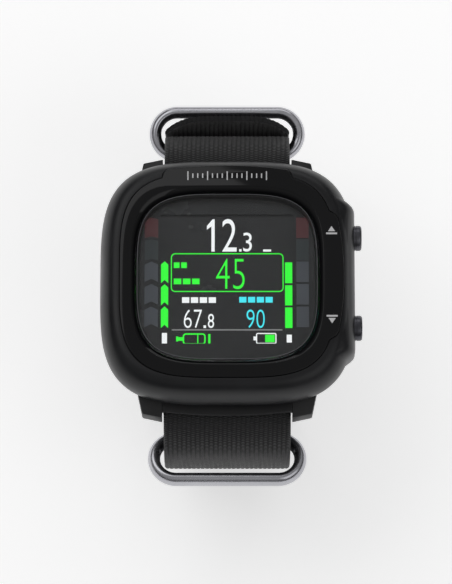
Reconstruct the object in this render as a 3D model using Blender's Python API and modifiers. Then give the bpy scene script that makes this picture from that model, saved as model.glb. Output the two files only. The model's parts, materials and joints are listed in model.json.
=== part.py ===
"""Wrist dive computer: a sealed case with a colour display and two side buttons,
worn on a pass-through webbing strap with oval rings and a pin buckle.

Metres, +Z up. The display faces +Z, 12 o'clock points to +Y and the buttons are at +X.
The closed strap loop stands on its flat bottom at z = 0.
"""
import math

import bmesh
import bpy
from mathutils import Matrix, Vector

MM = 0.001

# Heights of the case stack
BACK_Z = 64.0 * MM
PARTING_Z = 70.3 * MM
BEZEL_WIDEST_Z = 74.4 * MM
RECESS_Z = 82.0 * MM
BEZEL_TOP_Z = 83.7 * MM
PLATE_TOP_Z = 84.0 * MM
GAP = 0.3 * MM

# Outlines, as half widths in X and Y of a superellipse
POWER = 3.7
BEZEL_HALF = (35.0 * MM, 34.2 * MM)
BEZEL_FOOT_HALF = (33.9 * MM, 33.1 * MM)
BEZEL_RIM_HALF = (29.9 * MM, 29.25 * MM)
PLATE_HALF = (29.45 * MM, 28.8 * MM)
WINDOW_TOP_HALF = (26.25 * MM, 25.1 * MM)
WINDOW_LOW_HALF = (24.8 * MM, 23.4 * MM)
LENS_HALF = (26.3 * MM, 24.9 * MM)
APERTURE_HALF = (24.5 * MM, 23.2 * MM)
CAVITY_HALF = (31.4 * MM, 29.2 * MM)
HOUSING_HALF = (33.5 * MM, 30.6 * MM)
HOUSING_CAVITY_HALF = (31.3 * MM, 28.4 * MM)

# Face plate tab at 12 o'clock and lobe beside the buttons
TAB_HALF_BASE = 17.9 * MM
TAB_HALF_TOP = 16.4 * MM
TAB_SIDE_Y = 29.9 * MM
TAB_TOP_Y = 31.1 * MM
LOBE_HALF_Y = 17.0 * MM
LOBE_SIDE_X = 30.4 * MM
LOBE_MID_X = 32.0 * MM

# Display
SCREEN_HALF = 18.3 * MM
SCREEN_Y = 0.3 * MM
PANEL_HALF = 21.0 * MM
PANEL_TOP_Z = 76.6 * MM

# Buttons, pressed towards -X
BUTTON_Y = 12.8 * MM
BUTTON_Z = 74.5 * MM
BUTTON_RADIUS = 3.5 * MM
BUTTON_FACE_X = 37.1 * MM
BOSS_X = 35.15 * MM
BOSS_HALF_Y = 20.5 * MM
STEM_RADIUS = 1.15 * MM

# Lugs and spring bars
LUG_INNER_X = 17.9 * MM
LUG_OUTER_X = 24.0 * MM
LUG_LOW_Z = 63.3 * MM
LUG_TOP_Z = 69.9 * MM
HOOD_LOW_Z = 68.7 * MM
BAR_Y = 34.1 * MM
BAR_Z = 65.4 * MM
BAR_RADIUS = 1.1 * MM
TIP_RADIUS = 0.5 * MM

# Webbing
WEB = 1.6 * MM
STRAP_HALF = 17.5 * MM
KEEPER_HALF = 13.5 * MM
FLOOR_Z = WEB / 2
BEND = 25.0 * MM
FLANK_Y = 47.3 * MM
BEND_Y = FLANK_Y - BEND
BEND_Z = FLOOR_Z + BEND
FLANK_TOP_Z = 52.5 * MM
LOWER_FLANK_Y = 44.7 * MM
LOWER_TOP_Z = 50.0 * MM
LOWER_SWEEP = 34.0 * MM
BAR_WRAP = 2.2 * MM
UNDER_Z = 62.9 * MM
KEEPER_Z = 61.0 * MM
KEEPER_CORNER = 7.65 * MM
LAYER = WEB + GAP
TAIL_LIFT_Z = 44.0 * MM
TAIL_LIFT = 17.0 * MM
TAIL_BOW = 4.3 * MM

# Oval rings
RING_Z = 54.0 * MM
RING_HALF_X = 22.0 * MM
RING_HALF_Y = 7.9 * MM
RING_RADIUS = 1.7 * MM
RING_FLATNESS = 1.5
RING_TILT = math.radians(12)
RING_SPAN = 2 * (RING_HALF_Y - RING_RADIUS)
UPPER_RING_Y = 42.5 * MM
LOWER_RING_Y = -39.3 * MM
FOLD_SIDE = RING_RADIUS + 0.35 * MM + WEB / 2

# Buckle on the lower bend of the +Y side, placed by its angle round the bend
HINGE_ANGLE = math.radians(72)
FAR_ANGLE = math.radians(47)
HINGE_WRAP = 2.1 * MM
HINGE_RADIUS = 1.0 * MM
FAR_REACH = 27.4 * MM


# ---------------------------------------------------------------- scene helpers

def clear_scene():
    for obj in list(bpy.data.objects):
        bpy.data.objects.remove(obj, do_unlink=True)


def new_collection(name):
    collection = bpy.data.collections.new(name)
    bpy.context.scene.collection.children.link(collection)
    return collection


def material(name, color, roughness, metallic=0.0):
    mat = bpy.data.materials.new(name)
    mat.use_nodes = True
    shader = mat.node_tree.nodes["Principled BSDF"]
    shader.inputs["Base Color"].default_value = (*color, 1.0)
    shader.inputs["Roughness"].default_value = roughness
    shader.inputs["Metallic"].default_value = metallic
    mat.diffuse_color = (*color, 1.0)
    return mat


def add_object(name, data, look=None):
    """Put data in the scene as a named part, or as a cutter when it has no look."""
    obj = bpy.data.objects.new(name, data)
    if look is None:
        cutters.objects.link(obj)
        obj.hide_render = True
        obj.display_type = "WIRE"
        return obj
    parts.objects.link(obj)
    data.materials.clear()
    data.materials.append(material(name, *look))
    return obj


def mesh_object(name, bm, look=None):
    bmesh.ops.recalc_face_normals(bm, faces=bm.faces)
    mesh = bpy.data.meshes.new(name)
    bm.to_mesh(mesh)
    bm.free()
    return add_object(name, mesh, look)


def boolean(obj, other, operation="DIFFERENCE"):
    mod = obj.modifiers.new(other.name, "BOOLEAN")
    mod.operation = operation
    mod.solver = "EXACT"
    mod.object = other


def bevel(obj, width, segments=2, angle=40):
    mod = obj.modifiers.new("Bevel", "BEVEL")
    mod.width = width
    mod.segments = segments
    mod.limit_method = "ANGLE"
    mod.angle_limit = math.radians(angle)


# ---------------------------------------------------------------- outlines

def superellipse(half, count=44, grow=0.0):
    half_x = half[0] + grow
    half_y = half[1] + grow
    points = []
    for i in range(count):
        turn = 2 * math.pi * i / count
        c = math.cos(turn)
        s = math.sin(turn)
        x = half_x * math.copysign(abs(c) ** (2 / POWER), c)
        y = half_y * math.copysign(abs(s) ** (2 / POWER), s)
        points.append((x, y))
    return points


def superellipse_y(half, x):
    return half[1] * (1 - abs(x / half[0]) ** POWER) ** (1 / POWER)


def superellipse_x(half, y):
    return half[0] * (1 - abs(y / half[1]) ** POWER) ** (1 / POWER)


def rounded_rectangle(half_x, half_y, radius, steps=4):
    points = []
    for quarter, (sx, sy) in enumerate([(1, 1), (-1, 1), (-1, -1), (1, -1)]):
        for i in range(steps + 1):
            turn = math.radians(90 * quarter + 90 * i / steps)
            x = sx * (half_x - radius) + radius * math.cos(turn)
            y = sy * (half_y - radius) + radius * math.sin(turn)
            points.append((x, y))
    return points


def shifted(points, dx, dy):
    return [(x + dx, y + dy) for x, y in points]


def plate_outline(grow=0.0):
    """Superellipse with the tab at 12 o'clock and the lobe beside the buttons."""
    half = (PLATE_HALF[0] + grow, PLATE_HALF[1] + grow)
    step_y = LOBE_HALF_Y + 1.2 * MM + grow
    lobe = []
    for i in range(-4, 5):
        y = (LOBE_HALF_Y - 1.2 * MM + grow) * i / 4
        bulge = 1 - (i / 4) ** 2
        lobe.append((LOBE_SIDE_X + grow + (LOBE_MID_X - LOBE_SIDE_X) * bulge, y))
    slant_x = LOBE_SIDE_X - 0.7 * MM + grow
    lobe = [(slant_x, -LOBE_HALF_Y - grow)] + lobe + [(slant_x, LOBE_HALF_Y + grow)]

    tab = []
    for i in range(4, -5, -1):
        x = (TAB_HALF_TOP + grow) * i / 4
        crown = (TAB_TOP_Y - TAB_SIDE_Y) * (1 - (i / 4) ** 2)
        tab.append((x, TAB_SIDE_Y + grow + crown))
    shoulder = TAB_SIDE_Y - 0.8 * MM + grow
    side = TAB_HALF_BASE - 0.5 * MM + grow
    tab = [(side, shoulder)] + tab + [(-side, shoulder)]

    base = TAB_HALF_BASE + grow
    rim = superellipse(half, count=72)
    corner = [p for p in rim if p[0] > base + 0.4 * MM and p[1] > step_y + 0.4 * MM]
    rest = [p for p in rim if p[0] < -base - 0.4 * MM or (p[1] < 0 and p[0] < base)]
    rest = [p for p in rest if p[1] < 0 or p[0] < 0]
    low_corner = [p for p in rim if p[0] >= base and p[1] < -step_y - 0.4 * MM]

    outline = [(superellipse_x(half, step_y), -step_y)]
    outline += lobe
    outline += [(superellipse_x(half, step_y), step_y)]
    outline += corner
    outline += [(base, superellipse_y(half, base))]
    outline += tab
    outline += [(-base, superellipse_y(half, base))]
    outline += rest
    outline += low_corner
    return outline


def bend_point(angle, reach):
    """A point in YZ at an angle from straight down round the centre of the +Y lower bend."""
    return (BEND_Y + reach * math.sin(angle), BEND_Z - reach * math.cos(angle))


def arc(centre, radii, start, end, count):
    """Points in YZ along an ellipse; angles in degrees from +Y towards +Z."""
    points = []
    for i in range(count + 1):
        turn = math.radians(start + (end - start) * i / count)
        points.append((centre[0] + radii[0] * math.cos(turn),
                       centre[1] + radii[1] * math.sin(turn)))
    return points


def smooth(points, steps):
    """Catmull-Rom curve through the points."""
    points = [Vector(p) for p in points]
    ends = [2 * points[0] - points[1]] + points + [2 * points[-1] - points[-2]]
    curve = []
    for a, b, c, d in zip(ends, ends[1:], ends[2:], ends[3:]):
        for i in range(steps):
            t = i / steps
            curve.append(tuple(0.5 * (2 * b + (c - a) * t
                                      + (2 * a - 5 * b + 4 * c - d) * t ** 2
                                      + (3 * b - a - 3 * c + d) * t ** 3)))
    curve.append(tuple(points[-1]))
    return curve


def mirrored(points):
    return [(-y, z) for y, z in reversed(points)]


# ---------------------------------------------------------------- solids

def flat_plate(name, loops, low, high, look=None):
    """A flat outline, with any further loops as holes, between two heights."""
    curve = bpy.data.curves.new(name, "CURVE")
    curve.dimensions = "2D"
    curve.fill_mode = "BOTH"
    curve.extrude = (high - low) / 2
    for loop in loops:
        spline = curve.splines.new("POLY")
        spline.points.add(len(loop) - 1)
        for point, (x, y) in zip(spline.points, loop):
            point.co = (x, y, 0, 1)
        spline.use_cyclic_u = True
    obj = add_object(name, curve, look)
    obj.location.z = (low + high) / 2
    return obj


def as_mesh(obj):
    """The same object as a welded mesh, so that it can be cut or joined."""
    name = obj.name
    bpy.context.view_layer.update()
    evaluated = obj.evaluated_get(bpy.context.evaluated_depsgraph_get())
    mesh = bpy.data.meshes.new_from_object(evaluated)
    bm = bmesh.new()
    bm.from_mesh(mesh)
    bmesh.ops.remove_doubles(bm, verts=bm.verts, dist=0.01 * MM)
    bmesh.ops.recalc_face_normals(bm, faces=bm.faces)
    bm.to_mesh(mesh)
    bm.free()
    solid = bpy.data.objects.new(name, mesh)
    solid.matrix_world = obj.matrix_world.copy()
    solid.hide_render = obj.hide_render
    solid.display_type = obj.display_type
    home = obj.users_collection[0]
    bpy.data.objects.remove(obj, do_unlink=True)
    home.objects.link(solid)
    solid.name = name
    return solid


def loft(name, sections, look=None):
    """A closed body through sections with the same number of points."""
    bm = bmesh.new()
    rings = [[bm.verts.new(p) for p in section] for section in sections]
    for low, high in zip(rings, rings[1:]):
        count = len(low)
        for i in range(count):
            j = (i + 1) % count
            bm.faces.new((low[i], low[j], high[j], high[i]))
    bm.faces.new(list(reversed(rings[0])))
    bm.faces.new(rings[-1])
    return mesh_object(name, bm, look)


def stacked(name, levels, look=None, count=44):
    """A loft of superellipses, each level a height and its half widths."""
    sections = []
    for z, half in levels:
        sections.append([(x, y, z) for x, y in superellipse(half, count)])
    return loft(name, sections, look)


def box(name, low, high, look=None):
    bm = bmesh.new()
    bmesh.ops.create_cube(bm, size=1.0)
    size = [b - a for a, b in zip(low, high)]
    centre = [(a + b) / 2 for a, b in zip(low, high)]
    bmesh.ops.scale(bm, vec=size, verts=bm.verts)
    bmesh.ops.translate(bm, vec=centre, verts=bm.verts)
    return mesh_object(name, bm, look)


def rod(name, radius, start, end, look=None, sides=16):
    """A cylinder between two points, with its origin at the start."""
    start = Vector(start)
    along = Vector(end) - start
    bm = bmesh.new()
    bmesh.ops.create_cone(bm, cap_ends=True, segments=sides, radius1=radius,
                          radius2=radius, depth=along.length)
    turn = Vector((0, 0, 1)).rotation_difference(along.normalized()).to_matrix().to_4x4()
    place = turn @ Matrix.Translation((0, 0, along.length / 2))
    bmesh.ops.transform(bm, matrix=place, verts=bm.verts)
    obj = mesh_object(name, bm, look)
    obj.location = start
    return obj


def turned(name, profile, look=None, steps=18):
    """A profile of (radius, along) pairs turned round the +X axis."""
    bm = bmesh.new()
    verts = [bm.verts.new((radius, 0, along)) for radius, along in profile]
    for a, b in zip(verts, verts[1:]):
        bm.edges.new((a, b))
    if profile[0][0] > 0:
        bm.edges.new((verts[-1], verts[0]))
    mesh = bpy.data.meshes.new(name)
    bm.to_mesh(mesh)
    bm.free()
    obj = add_object(name, mesh, look)
    mod = obj.modifiers.new("Screw", "SCREW")
    mod.steps = steps
    mod.render_steps = steps
    mod.use_merge_vertices = True
    mod.merge_threshold = 0.00001
    obj.rotation_euler.y = math.pi / 2
    return obj


def tube(name, points, radius, look, closed=False, resolution=2):
    curve = bpy.data.curves.new(name, "CURVE")
    curve.dimensions = "3D"
    curve.bevel_depth = radius
    curve.bevel_resolution = resolution
    curve.use_fill_caps = not closed
    spline = curve.splines.new("POLY")
    spline.points.add(len(points) - 1)
    for point, co in zip(spline.points, points):
        point.co = (*co, 1)
    spline.use_cyclic_u = closed
    return add_object(name, curve, look)


def webbing(name, path, half, look, bow=None):
    """A flat band of webbing along a path in YZ, bowed outwards where bow says."""
    across = [-1, -0.75, -0.4, 0, 0.4, 0.75, 1]
    points = [Vector(p) for p in path]
    bm = bmesh.new()
    rings = []
    for i, point in enumerate(points):
        before = points[max(i - 1, 0)]
        after = points[min(i + 1, len(points) - 1)]
        along = (after - before).normalized()
        side = Vector((along.y, -along.x))
        rise = bow(i, point) if bow else 0.0
        ring = []
        for sign in (1, -1):
            row = across if sign > 0 else reversed(across)
            for u in row:
                shift = sign * WEB / 2 + rise * (1 - u * u)
                place = point + side * shift
                ring.append(bm.verts.new((u * half, place.x, place.y)))
        rings.append(ring)
    for low, high in zip(rings, rings[1:]):
        count = len(low)
        for i in range(count):
            j = (i + 1) % count
            bm.faces.new((low[i], low[j], high[j], high[i]))
    for ring in (rings[0], rings[-1]):
        row = len(across)
        for i in range(row - 1):
            bm.faces.new((ring[i], ring[i + 1], ring[2 * row - 2 - i], ring[2 * row - 1 - i]))
    return mesh_object(name, bm, look)


# ---------------------------------------------------------------- case

def make_bezel_casing():
    levels = [(PARTING_Z, BEZEL_FOOT_HALF),
              (PARTING_Z + 1.7 * MM, (BEZEL_HALF[0] - GAP, BEZEL_HALF[1] - GAP))]
    for i in range(6):
        turn = math.radians(18 * i)
        half = [rim + (wide - rim) * math.cos(turn)
                for wide, rim in zip(BEZEL_HALF, BEZEL_RIM_HALF)]
        z = BEZEL_WIDEST_Z + (BEZEL_TOP_Z - BEZEL_WIDEST_Z) * math.sin(turn)
        levels.append((z, half))
    casing = stacked("bezel_casing", levels, ((0.035, 0.036, 0.04), 0.42))

    boss = box("button_boss", (28 * MM, -BOSS_HALF_Y, PARTING_Z), (BOSS_X, BOSS_HALF_Y, 78.4 * MM))
    bevel(boss, 1.6 * MM, 2)
    boolean(casing, boss, "UNION")
    cavity = stacked("casing_cavity", [(PARTING_Z - MM, CAVITY_HALF), (76.9 * MM, CAVITY_HALF)])
    boolean(casing, cavity)
    for sign in (1, -1):
        block = box("stem_block", (28.9 * MM, sign * BUTTON_Y - 4.6 * MM, PARTING_Z),
                    (33 * MM, sign * BUTTON_Y + 4.6 * MM, 77.3 * MM))
        boolean(casing, block, "UNION")
    for x in (-26.5 * MM, 26.5 * MM):
        for y in (-22.8 * MM, 22.8 * MM):
            post = rod("screw_post", 2.1 * MM, (x, y, PARTING_Z + 0.1 * MM), (x, y, 77.4 * MM))
            boolean(casing, post, "UNION")
            hole = rod("post_hole", 1.1 * MM, (x, y, PARTING_Z - MM), (x, y, 74.2 * MM), sides=12)
            boolean(casing, hole)
    for sign in (1, -1):
        y = sign * BUTTON_Y
        boolean(casing, rod("cap_bore", 3.85 * MM, (31 * MM, y, BUTTON_Z), (38 * MM, y, BUTTON_Z)))
        boolean(casing, rod("bush_bore", 3.2 * MM, (28 * MM, y, BUTTON_Z), (31.5 * MM, y, BUTTON_Z)))
    recess = as_mesh(flat_plate("plate_recess", [plate_outline(GAP)], RECESS_Z, 85 * MM))
    boolean(casing, recess)
    boolean(casing, stacked("lens_pocket", [(78.3 * MM, [h + GAP for h in LENS_HALF]),
                                            (82.6 * MM, [h + GAP for h in LENS_HALF])]))
    boolean(casing, stacked("aperture", [(76 * MM, APERTURE_HALF), (79 * MM, APERTURE_HALF)]))


def make_face_plate():
    plate = as_mesh(flat_plate("face_plate", [plate_outline()], RECESS_Z + GAP, PLATE_TOP_Z,
                               ((0.012, 0.012, 0.014), 0.08)))
    slope = (PLATE_TOP_Z - RECESS_Z - GAP) / MM
    spread = [(top - low) / slope for top, low in zip(WINDOW_TOP_HALF, WINDOW_LOW_HALF)]
    levels = []
    for z in (RECESS_Z + GAP - MM, PLATE_TOP_Z + MM):
        rise = (z - RECESS_Z - GAP) / MM
        levels.append((z, [low + s * rise for low, s in zip(WINDOW_LOW_HALF, spread)]))
    boolean(plate, stacked("plate_window", levels))


def make_lens():
    flat_plate("lens_window", [superellipse(LENS_HALF)], 79.6 * MM, RECESS_Z, ((0.02, 0.02, 0.025), 0.03))
    flat_plate("lens_gasket", [superellipse(LENS_HALF, grow=-0.1 * MM),
                               superellipse(WINDOW_LOW_HALF)],
               78.6 * MM, 79.3 * MM, ((0.02, 0.02, 0.02), 0.8))


def make_display():
    window = shifted(rounded_rectangle(SCREEN_HALF, SCREEN_HALF, 0.6 * MM), 0, SCREEN_Y)
    flat_plate("screen_mask", [superellipse(APERTURE_HALF, grow=-GAP), window],
               76.95 * MM, 77.6 * MM, ((0.01, 0.01, 0.01), 0.5))
    panel = rounded_rectangle(PANEL_HALF, PANEL_HALF, 0.6 * MM, 2)
    flat_plate("display_panel", [panel], 75.0 * MM, PANEL_TOP_Z, ((0.03, 0.03, 0.032), 0.2))
    flat_plate("backlight_unit", [rounded_rectangle(20.6 * MM, 20.6 * MM, 0.6 * MM, 2)],
               73.2 * MM, 74.7 * MM, ((0.8, 0.8, 0.78), 0.6))
    flat_plate("display_bracket", [rounded_rectangle(22.7 * MM, 22.7 * MM, 1.5 * MM),
                                   rounded_rectangle(21.3 * MM, 21.3 * MM, 0.8 * MM, 2)],
               72.9 * MM, 76.5 * MM, ((0.05, 0.05, 0.05), 0.6))
    box("display_flex", (-8 * MM, -23.4 * MM, 72.8 * MM), (8 * MM, -23.1 * MM, 76.4 * MM),
        ((0.45, 0.22, 0.03), 0.5))


def make_board():
    outline = [(23.8, -25), (23.8, -19), (26.2, -18.5), (26.2, 18.5), (23.8, 19), (23.8, 25),
               (-23.8, 25), (-23.8, 19), (-26.2, 18.5), (-26.2, -18.5), (-23.8, -19), (-23.8, -25)]
    outline = [(x * MM, y * MM) for x, y in outline]
    flat_plate("main_circuit_board", [outline], 71.5 * MM, 72.5 * MM, ((0.01, 0.12, 0.05), 0.5))
    for name, x, half in (("processor_chip", -9, 2.4), ("memory_chip", 6, 1.9)):
        box(name, ((x - half) * MM, (21.5 - half) * MM, 70.1 * MM),
            ((x + half) * MM, (21.5 + half) * MM, 71.2 * MM), ((0.02, 0.02, 0.02), 0.4))
    box("wireless_module", (-7 * MM, -24 * MM, 70 * MM), (7 * MM, -18.6 * MM, 71.2 * MM),
        ((0.6, 0.6, 0.58), 0.35, 0.8))
    rod("buzzer", 4.5 * MM, (-25.3 * MM, 12 * MM, 67.7 * MM), (-25.3 * MM, 12 * MM, 69.6 * MM),
        ((0.55, 0.42, 0.15), 0.4, 0.9))


def make_lower_housing():
    z = BACK_Z
    levels = [(z, (31.6 * MM, 28.9 * MM)), (z + 0.7 * MM, (32.9 * MM, 30.1 * MM)),
              (z + 1.8 * MM, HOUSING_HALF), (70.0 * MM, HOUSING_HALF)]
    housing = stacked("lower_housing", levels, ((0.03, 0.031, 0.034), 0.5))
    for sign in (1, -1):
        boolean(housing, make_hood(sign), "UNION")
        for side in (1, -1):
            boolean(housing, make_lug(side, sign), "UNION")
    boolean(housing, stacked("housing_cavity", [(67.4 * MM, HOUSING_CAVITY_HALF),
                                                (71 * MM, HOUSING_CAVITY_HALF)]))
    groove = flat_plate("gasket_groove", [superellipse(HOUSING_HALF, grow=-0.6 * MM),
                                          superellipse(HOUSING_HALF, grow=-1.7 * MM)],
                        69.1 * MM, 71 * MM)
    boolean(housing, as_mesh(groove))
    rebate = rounded_rectangle(23.3 * MM, 22.3 * MM, 4 * MM)
    boolean(housing, as_mesh(flat_plate("cover_rebate", [rebate], z - MM, 66.6 * MM)))
    opening = rounded_rectangle(18.6 * MM, 17.6 * MM, 2 * MM)
    boolean(housing, as_mesh(flat_plate("battery_opening", [opening], 66 * MM, 68 * MM)))
    for x in (-26.5 * MM, 26.5 * MM):
        for y in (-22.8 * MM, 22.8 * MM):
            boolean(housing, rod("screw_hole", 1.1 * MM, (x, y, z - MM), (x, y, 71 * MM), sides=12))
            boolean(housing, rod("head_bore", 1.8 * MM, (x, y, z - MM), (x, y, 65.6 * MM), sides=16))
    for x in (-21.2 * MM, 21.2 * MM):
        for y in (-20.2 * MM, 20.2 * MM):
            boolean(housing, rod("cover_screw_hole", 0.9 * MM, (x, y, 66 * MM), (x, y, 68 * MM), sides=12))
    boolean(housing, rod("sensor_port", 1.3 * MM, (27.6 * MM, 0, z - MM), (27.6 * MM, 0, 68 * MM), sides=16))
    for y in contact_places():
        start = (-27.4 * MM, y, z - MM)
        boolean(housing, rod("contact_hole", 1.3 * MM, start, (-27.4 * MM, y, 68 * MM), sides=12))
    for sign in (1, -1):
        y = sign * BAR_Y
        for side in (1, -1):
            boolean(housing, rod("tip_hole", TIP_RADIUS + 0.2 * MM, (side * 17 * MM, y, BAR_Z),
                                 (side * 20.2 * MM, y, BAR_Z), sides=12))


def make_hood(sign):
    """Lip over the strap between the lugs."""
    outline = []
    for i in range(9):
        u = 1 - i / 4
        outline.append((LUG_INNER_X * u + 0.05 * MM * u, sign * (36.3 - 1.1 * u * u) * MM))
    for i in range(9):
        x = (LUG_INNER_X + 0.05 * MM) * (i / 4 - 1)
        outline.append((x, sign * (superellipse_y(HOUSING_HALF, x) - 0.3 * MM)))
    return as_mesh(flat_plate("hood", [outline], HOOD_LOW_Z, LUG_TOP_Z))


def make_lug(side, sign):
    outline = [(LUG_INNER_X, 27.5 * MM), (LUG_OUTER_X, 27.5 * MM), (LUG_OUTER_X, 33 * MM),
               (23.2 * MM, 35.7 * MM), (21 * MM, 36.6 * MM), (LUG_INNER_X, 36.9 * MM)]
    outline = [(side * x, sign * y) for x, y in outline]
    return as_mesh(flat_plate("lug", [outline], LUG_LOW_Z, LUG_TOP_Z))


def contact_places():
    return [-4 * MM, 4 * MM]


def make_case_details():
    flat_plate("casing_gasket", [superellipse(HOUSING_HALF, grow=-0.85 * MM),
                                 superellipse(HOUSING_HALF, grow=-1.45 * MM)],
               69.4 * MM, 70.0 * MM, ((0.25, 0.03, 0.02), 0.7))
    cover = as_mesh(flat_plate("back_cover", [rounded_rectangle(23 * MM, 22 * MM, 3.7 * MM)],
                               BACK_Z, 65.6 * MM, ((0.04, 0.04, 0.042), 0.45)))
    steel = ((0.6, 0.6, 0.62), 0.3, 1.0)
    for x in (-21.2 * MM, 21.2 * MM):
        for y in (-20.2 * MM, 20.2 * MM):
            boolean(cover, rod("cover_hole", 0.9 * MM, (x, y, 63 * MM), (x, y, 67 * MM), sides=12))
            boolean(cover, rod("cover_head_bore", 1.5 * MM, (x, y, 63 * MM), (x, y, 64.9 * MM), sides=16))
            name = "cover_screw_" + corner_label(x, y)
            screw(name, x, y, 64.1 * MM, 64.6 * MM, 67.1 * MM, 1.2 * MM, 0.6 * MM, steel)
    flat_plate("back_cover_gasket", [rounded_rectangle(20.0 * MM, 19.0 * MM, 2.6 * MM),
                                     rounded_rectangle(19.1 * MM, 18.1 * MM, 1.9 * MM)],
               65.9 * MM, 66.3 * MM, ((0.3, 0.03, 0.02), 0.7))
    for x in (-26.5 * MM, 26.5 * MM):
        for y in (-22.8 * MM, 22.8 * MM):
            name = "casing_screw_" + corner_label(x, y)
            screw(name, x, y, 64.2 * MM, 65.3 * MM, 73.6 * MM, 1.5 * MM, 0.8 * MM, steel)
    flat_plate("battery_foam", [rounded_rectangle(17 * MM, 16 * MM, 1.5 * MM, 2)],
               65.9 * MM, 66.4 * MM, ((0.1, 0.1, 0.11), 0.9))
    battery = box("battery_cell", (-18 * MM, -17 * MM, 66.7 * MM), (18 * MM, 17 * MM, 70.9 * MM),
                  ((0.35, 0.37, 0.4), 0.35, 0.6))
    bevel(battery, 0.8 * MM, 2)
    rod("pressure_sensor", 2.4 * MM, (27.6 * MM, 0, 68.5 * MM), (27.6 * MM, 0, 70.4 * MM),
        ((0.7, 0.7, 0.72), 0.25, 1.0))
    seal = rod("sensor_seal", 2.1 * MM, (27.6 * MM, 0, 67.7 * MM), (27.6 * MM, 0, 68.2 * MM),
               ((0.02, 0.02, 0.02), 0.8))
    boolean(seal, rod("seal_hole", 1.2 * MM, (27.6 * MM, 0, 67 * MM), (27.6 * MM, 0, 69 * MM), sides=16))
    for y, label in zip(contact_places(), ("lower", "upper")):
        rod("charging_contact_" + label, 0.95 * MM, (-27.4 * MM, y, 63.9 * MM),
            (-27.4 * MM, y, 68.6 * MM), ((0.75, 0.55, 0.2), 0.25, 1.0), sides=12)


def corner_label(x, y):
    return ("upper" if y > 0 else "lower") + ("_right" if x > 0 else "_left")


def screw(name, x, y, low, neck, end, head_radius, shank_radius, look):
    """A cheese-head screw driven upwards."""
    obj = turned(name, [(0, end), (shank_radius, end), (shank_radius, neck),
                        (head_radius, neck), (head_radius, low), (0, low)], look, steps=14)
    obj.rotation_euler.y = 0
    obj.location = (x, y, 0)


# ---------------------------------------------------------------- buttons

def make_button(name, sign):
    """Cap and stem, bush, seal, spring and clip of one button, on an axis along X."""
    place = Vector((0, sign * BUTTON_Y, BUTTON_Z))
    cap_back = 33.8 * MM
    stem_end = 27.0 * MM
    profile = [(0, BUTTON_FACE_X), (2.7 * MM, BUTTON_FACE_X), (3.25 * MM, BUTTON_FACE_X - 0.2 * MM),
               (BUTTON_RADIUS, BUTTON_FACE_X - 0.55 * MM), (BUTTON_RADIUS, cap_back),
               (STEM_RADIUS, cap_back), (STEM_RADIUS, 30.6 * MM), (0.75 * MM, 30.6 * MM),
               (0.75 * MM, 29.5 * MM), (STEM_RADIUS, 29.5 * MM), (STEM_RADIUS, 28.85 * MM),
               (0.8 * MM, 28.85 * MM), (0.8 * MM, 27.95 * MM), (STEM_RADIUS, 27.95 * MM),
               (STEM_RADIUS, stem_end), (0, stem_end)]
    turned(name + "_plunger", profile, ((0.09, 0.09, 0.1), 0.3, 0.9)).location = place
    bush = [(1.95 * MM, 29.2 * MM), (1.95 * MM, 31.0 * MM), (2.9 * MM, 31.0 * MM), (2.9 * MM, 29.2 * MM)]
    turned(name + "_bush", bush, ((0.5, 0.5, 0.52), 0.3, 1.0)).location = place
    seal = []
    for i in range(6):
        turn = 2 * math.pi * i / 6
        seal.append((1.35 * MM + 0.3 * MM * math.cos(turn), 30.05 * MM - 0.3 * MM * math.sin(turn)))
    turned(name + "_seal_ring", seal, ((0.02, 0.02, 0.02), 0.7), 14).location = place
    clip = [(1.1 * MM, 28.2 * MM), (1.1 * MM, 28.6 * MM), (2.2 * MM, 28.6 * MM), (2.2 * MM, 28.2 * MM)]
    turned(name + "_clip", clip, ((0.5, 0.5, 0.5), 0.3, 1.0), 14).location = place
    coil = []
    turns = 2.5
    count = 26
    for i in range(count + 1):
        turn = 2 * math.pi * turns * i / count
        x = 31.5 * MM + 1.8 * MM * i / count
        coil.append((x, 2.5 * MM * math.cos(turn), 2.5 * MM * math.sin(turn)))
    tube(name + "_spring", coil, 0.17 * MM, ((0.65, 0.65, 0.65), 0.3, 1.0)).location = place
    low = (23.2 * MM, place.y - 2.5 * MM, 72.8 * MM)
    box(name + "_switch", low, (25.7 * MM, place.y + 2.5 * MM, 76.2 * MM), ((0.08, 0.08, 0.08), 0.5))


# ---------------------------------------------------------------- spring bars

def make_spring_bar(name, sign):
    """Tube between the lugs, and the sprung tip at each end."""
    y = sign * BAR_Y
    half = 17.6 * MM
    bar = rod(name + "_spring_bar", BAR_RADIUS, (-half, y, BAR_Z), (half, y, BAR_Z),
              ((0.6, 0.6, 0.62), 0.3, 1.0), sides=16)
    for side, label in ((-1, "left"), (1, "right")):
        bore = rod("bar_bore", 0.8 * MM, (side * 13.2 * MM, y, BAR_Z), (side * 19 * MM, y, BAR_Z), sides=12)
        boolean(bar, bore)
        rod(name + "_bar_tip_" + label, TIP_RADIUS, (side * 15.2 * MM, y, BAR_Z),
            (side * 19.2 * MM, y, BAR_Z), ((0.6, 0.6, 0.62), 0.3, 1.0), sides=12)


# ---------------------------------------------------------------- strap

def over_bar(widest_y, widest_z):
    """One side of the strap from its widest point, over the spring bar and under the case."""
    rise = BAR_Z + BAR_WRAP - widest_z
    path = arc((BAR_Y, widest_z), (widest_y - BAR_Y, rise), 0, 90, 12)
    path += arc((BAR_Y, BAR_Z), (BAR_WRAP, BAR_WRAP), 110, 180, 4)
    corner = BAR_Y - BAR_WRAP - 2 * MM
    path += arc((corner, UNDER_Z + 2 * MM), (2 * MM, 2 * MM), 0, -90, 4)
    return path


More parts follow.
